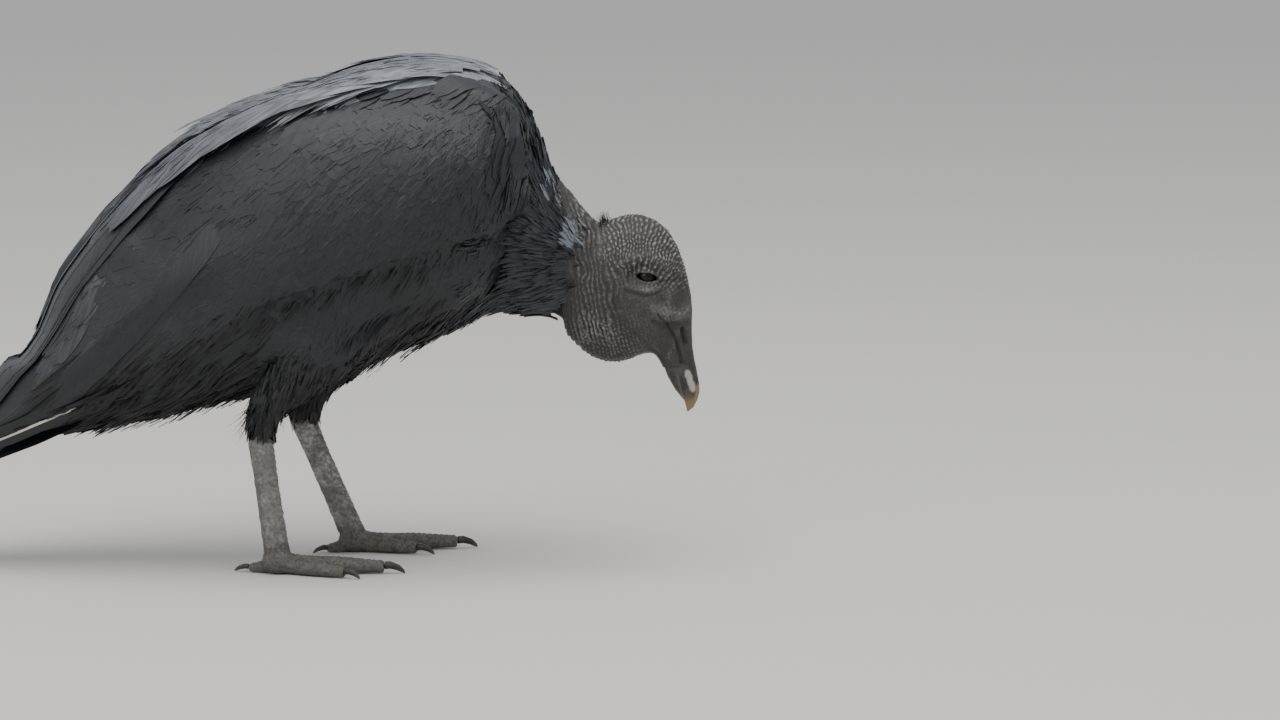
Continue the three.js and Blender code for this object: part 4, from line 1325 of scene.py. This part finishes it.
legParts = ("thigh", "tarsus", "foot", "toe_inner", "toe_middle", "toe_outer", "toe_hallux")
legLook = {
    "bands": 3.3, "rungs": 3.6, "crest": 0.55, "toeCut": 1.1, "shinCut": 0.9,
    "toe": (17, 11), "shin": (14, 20), "pads": (6, 2, 0.35), "grain": (0.28, 0.12),
    "underCoat": (74, 80, 4.5),  # where the shin draws in, and how much further at the knee
    "toesTo": 17, "shinTo": 77.5,  # heights at which the materials change
    # the legs' whitish dust, paler higher up the leg, and painted light: the near shin darker, the far shin paler
    "dustAndSideLight": {"near": 0.28, "far": 1.15, "least": 0.15},
}


def makeLegSkin():
    look, top = legLook, skinLook["kneeCut"]
    names = [f"{part}_{side}" for side in sides for part in legParts]
    mesh = meltedCopy(names, skinLook["legVoxel"], 6, (spot(0, top), (0, 0, -1)))
    points, normals = coords(mesh), normalsOf(mesh)
    z = zOf(points)
    scale = ripple(points, 3.2, 12)
    # scutes cross the tops of the toes and the front of the shin
    bands = np.zeros(len(points))
    for name, side in sides.items():
        foot = np.array(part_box(f"foot_{name}"))[:, :2]
        away = np.hypot(*(points[:, :2] - (foot[0] + foot[1]) / 2).T) / mm
        waves = np.cos(away * tau / look["bands"] + ripple(points, 6, 14) * 0.8)
        bands = np.where(points[:, 1] * side > 0, waves, bands)
    toe = ease(*look["toe"], z) * ease(0.25, 0.7, normals[:, 2])
    shinFront = ease(*look["shin"], z) * ease(0.35, 0.8, normals[:, 0])
    rungs = np.cos(z * tau / look["rungs"] + ripple(points, 7, 15) * 0.9)
    crest = look["crest"]
    cut = toe * clamp(bands - crest) * look["toeCut"] + shinFront * clamp(rungs - crest) * look["shinCut"]
    (high, low, depth), (coarse, fine) = look["pads"], look["grain"]
    pads = ease(high, low, z) * depth * ripple(points, 2.2, 16)
    move = coarse * scale * (1 - toe) + fine * ripple(points, 1.6, 13) - cut + pads
    points = pushed(points, normals, move * ease(0.0, 3.0, z))
    points[:, 2] = np.maximum(points[:, 2], 0.0)
    # the top of the leg draws in towards its axis, under the thigh's coat
    low, high, more = look["underCoat"]
    tuck = (skinLook["coatDepth"] - 0.3) * ease(low, high, z) + more * ease(top - 7, top - 1, z)
    for name, side in sides.items():
        (highX, highZ, highY), (lowX, lowZ, lowY) = legAxis(name, side)[1:3]
        t = ((z - lowZ) / (highZ - lowZ))[:, None]
        outward = points - spot(lowX, 0, lowY) * (1 - t) - spot(highX, 0, highY) * t
        outward[:, 2] = 0
        reach = np.minimum(tuck * mm, np.linalg.norm(outward, axis=1) * 0.9) * (points[:, 1] * side > 0)
        points = points - unit(outward) * reach[:, None]
    setCoords(mesh, points)
    # painted shade: darker in the scute grooves
    setValue(mesh, "fold", clamp(0.6 + 0.45 * scale - cut * 1.2))
    dustAndSideLight = look["dustAndSideLight"]
    # painted light: the far shin paler than the near one, over the dust that grows up the leg
    dustyAndSideLit = np.where(points[:, 1] > 0, dustAndSideLight["far"] + 0.3 * ripple(points, 16, 17), dustAndSideLight["near"])
    setValue(mesh, "pale", np.clip(dustyAndSideLit * ease(8, 40, z + 10 * scale) + dustAndSideLight["least"], 0.1, 1.1))
    painted(mesh, skinCoats["shin"], skinCoats["toe"], skinCoats["under"])
    centre = vectors(mesh.polygons, "center")
    # above the shin the leg takes the near-black paint of the skin under the coat: painted shade under the thigh's
    # feathers
    coats = np.where(zOf(centre) > look["shinTo"] + 2.0 * ripple(centre, 3, 19), 2, 0)
    coats = np.where(zOf(centre) < look["toesTo"] + 2.5 * ripple(centre, 4, 18), 1, coats)
    mesh.polygons.foreach_set("material_index", coats.astype(np.int32))
    return thinned(mesh, skinLook["legShare"])


def makeBodySkin():
    names = ["trunk", "neck", *wingNames[:2], "thigh_right", "thigh_left"]
    mesh = meltedCopy(names, skinLook["bodyVoxel"], 6)
    normals = normalsOf(mesh)
    depth = skinLook["coatDepth"] + skinLook["underDepth"] * ease(0.25, 0.85, -normals[:, 2])
    setCoords(mesh, pushed(coords(mesh), normals, -depth))
    for label in ("fold", "pale"):
        setValue(mesh, label, np.ones(len(mesh.vertices)))
    # dark skin painted near-black as the shade under the feathers
    painted(mesh, skinCoats["under"])
    return mesh


def makeSkinPiece():
    body, *others = (placed("skin_part", make()) for make in (makeBodySkin, makeHeadSkin, makeLegSkin))
    for other in others:
        weld = body.modifiers.new("weld", "BOOLEAN")
        weld.operation, weld.solver, weld.object = "UNION", "MANIFOLD", other
        weld.material_mode = "TRANSFER"
    mesh = settled(body)
    for other in others:
        bpy.data.objects.remove(other)
    mesh.name = "skin"
    smoothed(mesh)
    covered = [f"{part}_{side}" for side in sides for part in ("wing_coverts", *legParts)]
    finished(placed("skin", mesh), "bare_skin", "trunk", "neck", "head", *covered)


makeSkinPiece()
print("skin made")


# bill and claws
hornLooks = {
    "bill_horn": {"dark": (0.018, 0.016, 0.014), "grey": (0.06, 0.055, 0.048), "ivory": (0.45, 0.43, 0.37),
                  "amber": (0.27, 0.18, 0.08), "rough": (0.38, 0.6)},
}
hornLooks["claw_horn"] = dict(hornLooks["bill_horn"], grey=(0.035, 0.032, 0.03), rough=(0.34, 0.55))


def makeHorn(name, look):
    material, tree = newMaterial(name, {"Specular IOR Level": 0.5})
    place = tree.place()
    stretched = tree.add("Mapping", {"Vector": place, "Scale": (900, 900, 120)}).outputs[0]
    grain = tree.noise(stretched, 1.0, 4.0)
    cloud = tree.spread(tree.noise(place, 220.0, 4.0), 0.3, 0.7)
    worn = tree.times(tree.value("ivory"), tree.spread(grain, 0.25, 0.6, 0.7, 1.0))
    colour = tree.mix(worn, tree.mix(cloud, look["dark"], look["grey"]), look["ivory"])
    colour = tree.mix(tree.value("amber"), colour, look["amber"])
    tree.surface(colour, tree.spread(grain, 0.3, 0.7, *look["rough"]), grain, 0.25, 0.0003)
    return material


hornPaint = {name: makeHorn(name, look) for name, look in hornLooks.items()}

# side-on paths of the bill's marks, lips and edges
billLook = {
    "voxel": 0.32, "claw": 0.35,
    "lip": [(223.6, 90), (223.4, 97.6), (221.4, 104), (219, 110.2), (217.6, 116)],
    "slit": [(218.2, 91.5), (217.2, 96), (216.2, 100), (215.1, 104), (214.2, 108), (213.4, 112)],
    "hook": ((221.2, 88.2), (2.0, 2.0), (-0.2, 0, -1.4)),
    "shut": (1.7, (0.95, 0, 0)),  # the lower half shuts inside the upper one's edge
    "raise": (107.5, 111.5, 1.6, (-0.15, 0, 1.0)),  # the root draws up under the skin between these heights
    "lipMove": {"bill_upper": 0.25, "bill_lower": -0.35}, "grooves": (1.6, 0.32, 0.10, (88, 100)),
    "patch": [(220.8, 110), (222.4, 105), (223.8, 100.5)],
    "rim": [(227.4, 101), (227.6, 95), (225.8, 89.5)],
    "lowerPatch": [(216.6, 107), (218.4, 98), (218.6, 92)],
}


def hornPiece(name, mesh, paint, slot, ivory, amber, *replaced):
    setValue(mesh, "ivory", ivory)
    setValue(mesh, "amber", amber)
    painted(mesh, hornPaint[paint])
    finished(placed(name, mesh), slot, *replaced)


def makeBill(name):
    look, upper = billLook, name == "bill_upper"
    mesh = meltedCopy([name], look["voxel"], 5)
    points, normals = coords(mesh), normalsOf(mesh)
    x, z = xOf(points), zOf(points)
    low, high, rise, way = look["raise"]
    points += np.array(way) * (rise * ease(low, high, z) * mm)[:, None]
    width, slope, deep, tip = look["grooves"]
    lines = 0.5 + 0.5 * np.cos((x + slope * z) * tau / width + ripple(points, 6, 41))
    move = look["lipMove"][name] * ridge(points, look["lip"], 1.5) - deep * lines * ease(*tip, z)
    if upper:
        centre, radii, way = look["hook"]
        points += np.array(way) * (hump(points, centre, radii) * mm)[:, None]
    else:
        width, way = look["shut"]
        points += np.array(way) * (ridge(points, look["slit"], width) * mm)[:, None]
    setCoords(mesh, pushed(points, normals, move))
    if upper:
        patch = 0.9 * ease(2.3, 1.1, pathGap(points, look["patch"]) + 0.4 * ripple(points, 2, 42))
        rim = ease(3.4, 1.0, pathGap(points, look["rim"]) + 0.5 * ripple(points, 3, 43))
        rim = clamp(rim + ease(98, 91, z)) * 0.8
    else:
        patch, rim = 0.16 * ease(3.0, 0.6, pathGap(points, look["lowerPatch"])), 0.3 * ease(97, 91, z)
    hornPiece(name.replace("bill", "beak"), mesh, "bill_horn", "horn", patch, rim, name)


def makeClaws(side):
    names = [f"claw_{toe}_{side}" for toe in ("inner", "middle", "outer", "hallux")]
    mesh = meltedCopy(names, billLook["claw"], 5)
    points = coords(mesh)
    points[:, 2] = np.maximum(points[:, 2], 0)
    setCoords(mesh, points)
    low = ease(3.2, 0.6, zOf(points))
    hornPiece(f"claws_{side}", mesh, "claw_horn", "claw", 0.12 * low, 0 * low, *names)


makeBill("bill_upper")
makeBill("bill_lower")
for name in sides:
    makeClaws(name)
print("bill and claws made")


# eyes: a brown iris and black pupil under a wet surface, darkened all over as painted shade of the lids and brow;
# ring is millimetres out from the middle
def makeEyePaint():
    material, tree = newMaterial("eye_wet", {
        "Roughness": 0.1, "Coat Weight": 0.15, "Coat Roughness": 0.02, "Specular IOR Level": 0.2})
    look, ring, flecks = eyeLook, tree.value("ring"), tree.noise(tree.place(), 900.0, 3.0)
    brown = tree.mix(tree.spread(flecks, 0.3, 0.7), *look["iris"])
    colour = tree.mix(tree.spread(ring, *look["pupilRing"]), look["pupil"], brown)
    colour = tree.mix(tree.spread(ring, *look["irisRing"]), colour, look["white"])
    tree.join(colour, tree.inner.nodes["Principled BSDF"].inputs["Base Color"])
    return material


def makeEye(name, side, paint):
    look = eyeLook
    rings, around, radius, slack = look["rings"], look["around"], look["radius"], look["slack"]
    out = unit(np.array((look["facing"][0], side, look["facing"][1])))
    aside = unit(np.cross(out, (0, 0, 1.0)))
    up = np.cross(aside, out)
    polar = np.linspace(0, math.pi, rings + 1)[1:-1, None]
    turn = np.linspace(0, tau, around, endpoint=False)[None, :, None]
    ringAt = radius * np.sin(polar)
    bulge = look["cornea"][1] * clamp(1 - (ringAt / look["cornea"][0]) ** 2) * (polar < math.pi / 2)
    reach = radius - slack + bulge
    body = out * (reach * np.cos(polar))[..., None]
    body = body + (aside * np.cos(turn) + up * np.sin(turn)) * (reach * np.sin(polar))[..., None]
    ends = np.array((out * (radius + look["cornea"][1] - slack), -out * (radius - slack)))
    verts = np.concatenate((body.reshape(-1, 3), ends)) * mm + spot(*look["centre"], side * look["depth"])
    top, last = (rings - 1) * around, (rings - 2) * around
    j = np.arange(around)
    k = (j + 1) % around
    caps = np.stack((k, j, top + 0 * j, last + j, last + k, top + 1 + 0 * j), 1)
    ring = np.broadcast_to(np.where(polar < math.pi / 2, ringAt, 12), (rings - 1, around)).ravel()
    piece = meshPiece(name.replace("eye", "eyeball"), verts, ringQuads(rings - 1, around), caps, paint,
                      values={"ring": np.r_[ring, 0, 12]})
    finished(piece, "eye", name)


eyePaint = makeEyePaint()
for name, side in sides.items():
    makeEye(f"eye_{name}", side, eyePaint)
print("eyes made")


# floor and light
studioLook = {
    "floor": {"Base Color": (0.62, 0.60, 0.57, 1), "Roughness": 0.9},
    "world": {"Color": (0.86, 0.88, 0.92, 1), "Strength": 0.75},
    "lights": {"overhead": ((0.1, -0.5, 2.4), 2.6, 60), "side": ((-1.6, -2.0, 1.3), 1.6, 14)},  # place, size, power
    "aim": (0, 0, 0.15),
}


def makeStudio():
    look = studioLook
    corners = [(-6, -6, 0), (6, -6, 0), (6, 6, 0), (-6, 6, 0)]
    meshPiece("floor", corners, [(0, 1, 2, 3)], [], newMaterial("floor_paint", look["floor"])[0])
    world = bpy.data.worlds.new("studio")
    world.use_nodes = True
    for socket, value in look["world"].items():
        world.node_tree.nodes["Background"].inputs[socket].default_value = value
    bpy.context.scene.world = world
    for label, (place, size, power) in look["lights"].items():
        light = placed(label, bpy.data.lights.new(label, "AREA"))
        light.data.size, light.data.energy = size, power
        light.location = place
        light.rotation_euler = (Vector(look["aim"]) - Vector(place)).to_track_quat("-Z", "Y").to_euler()


makeStudio()
print("studio lit")
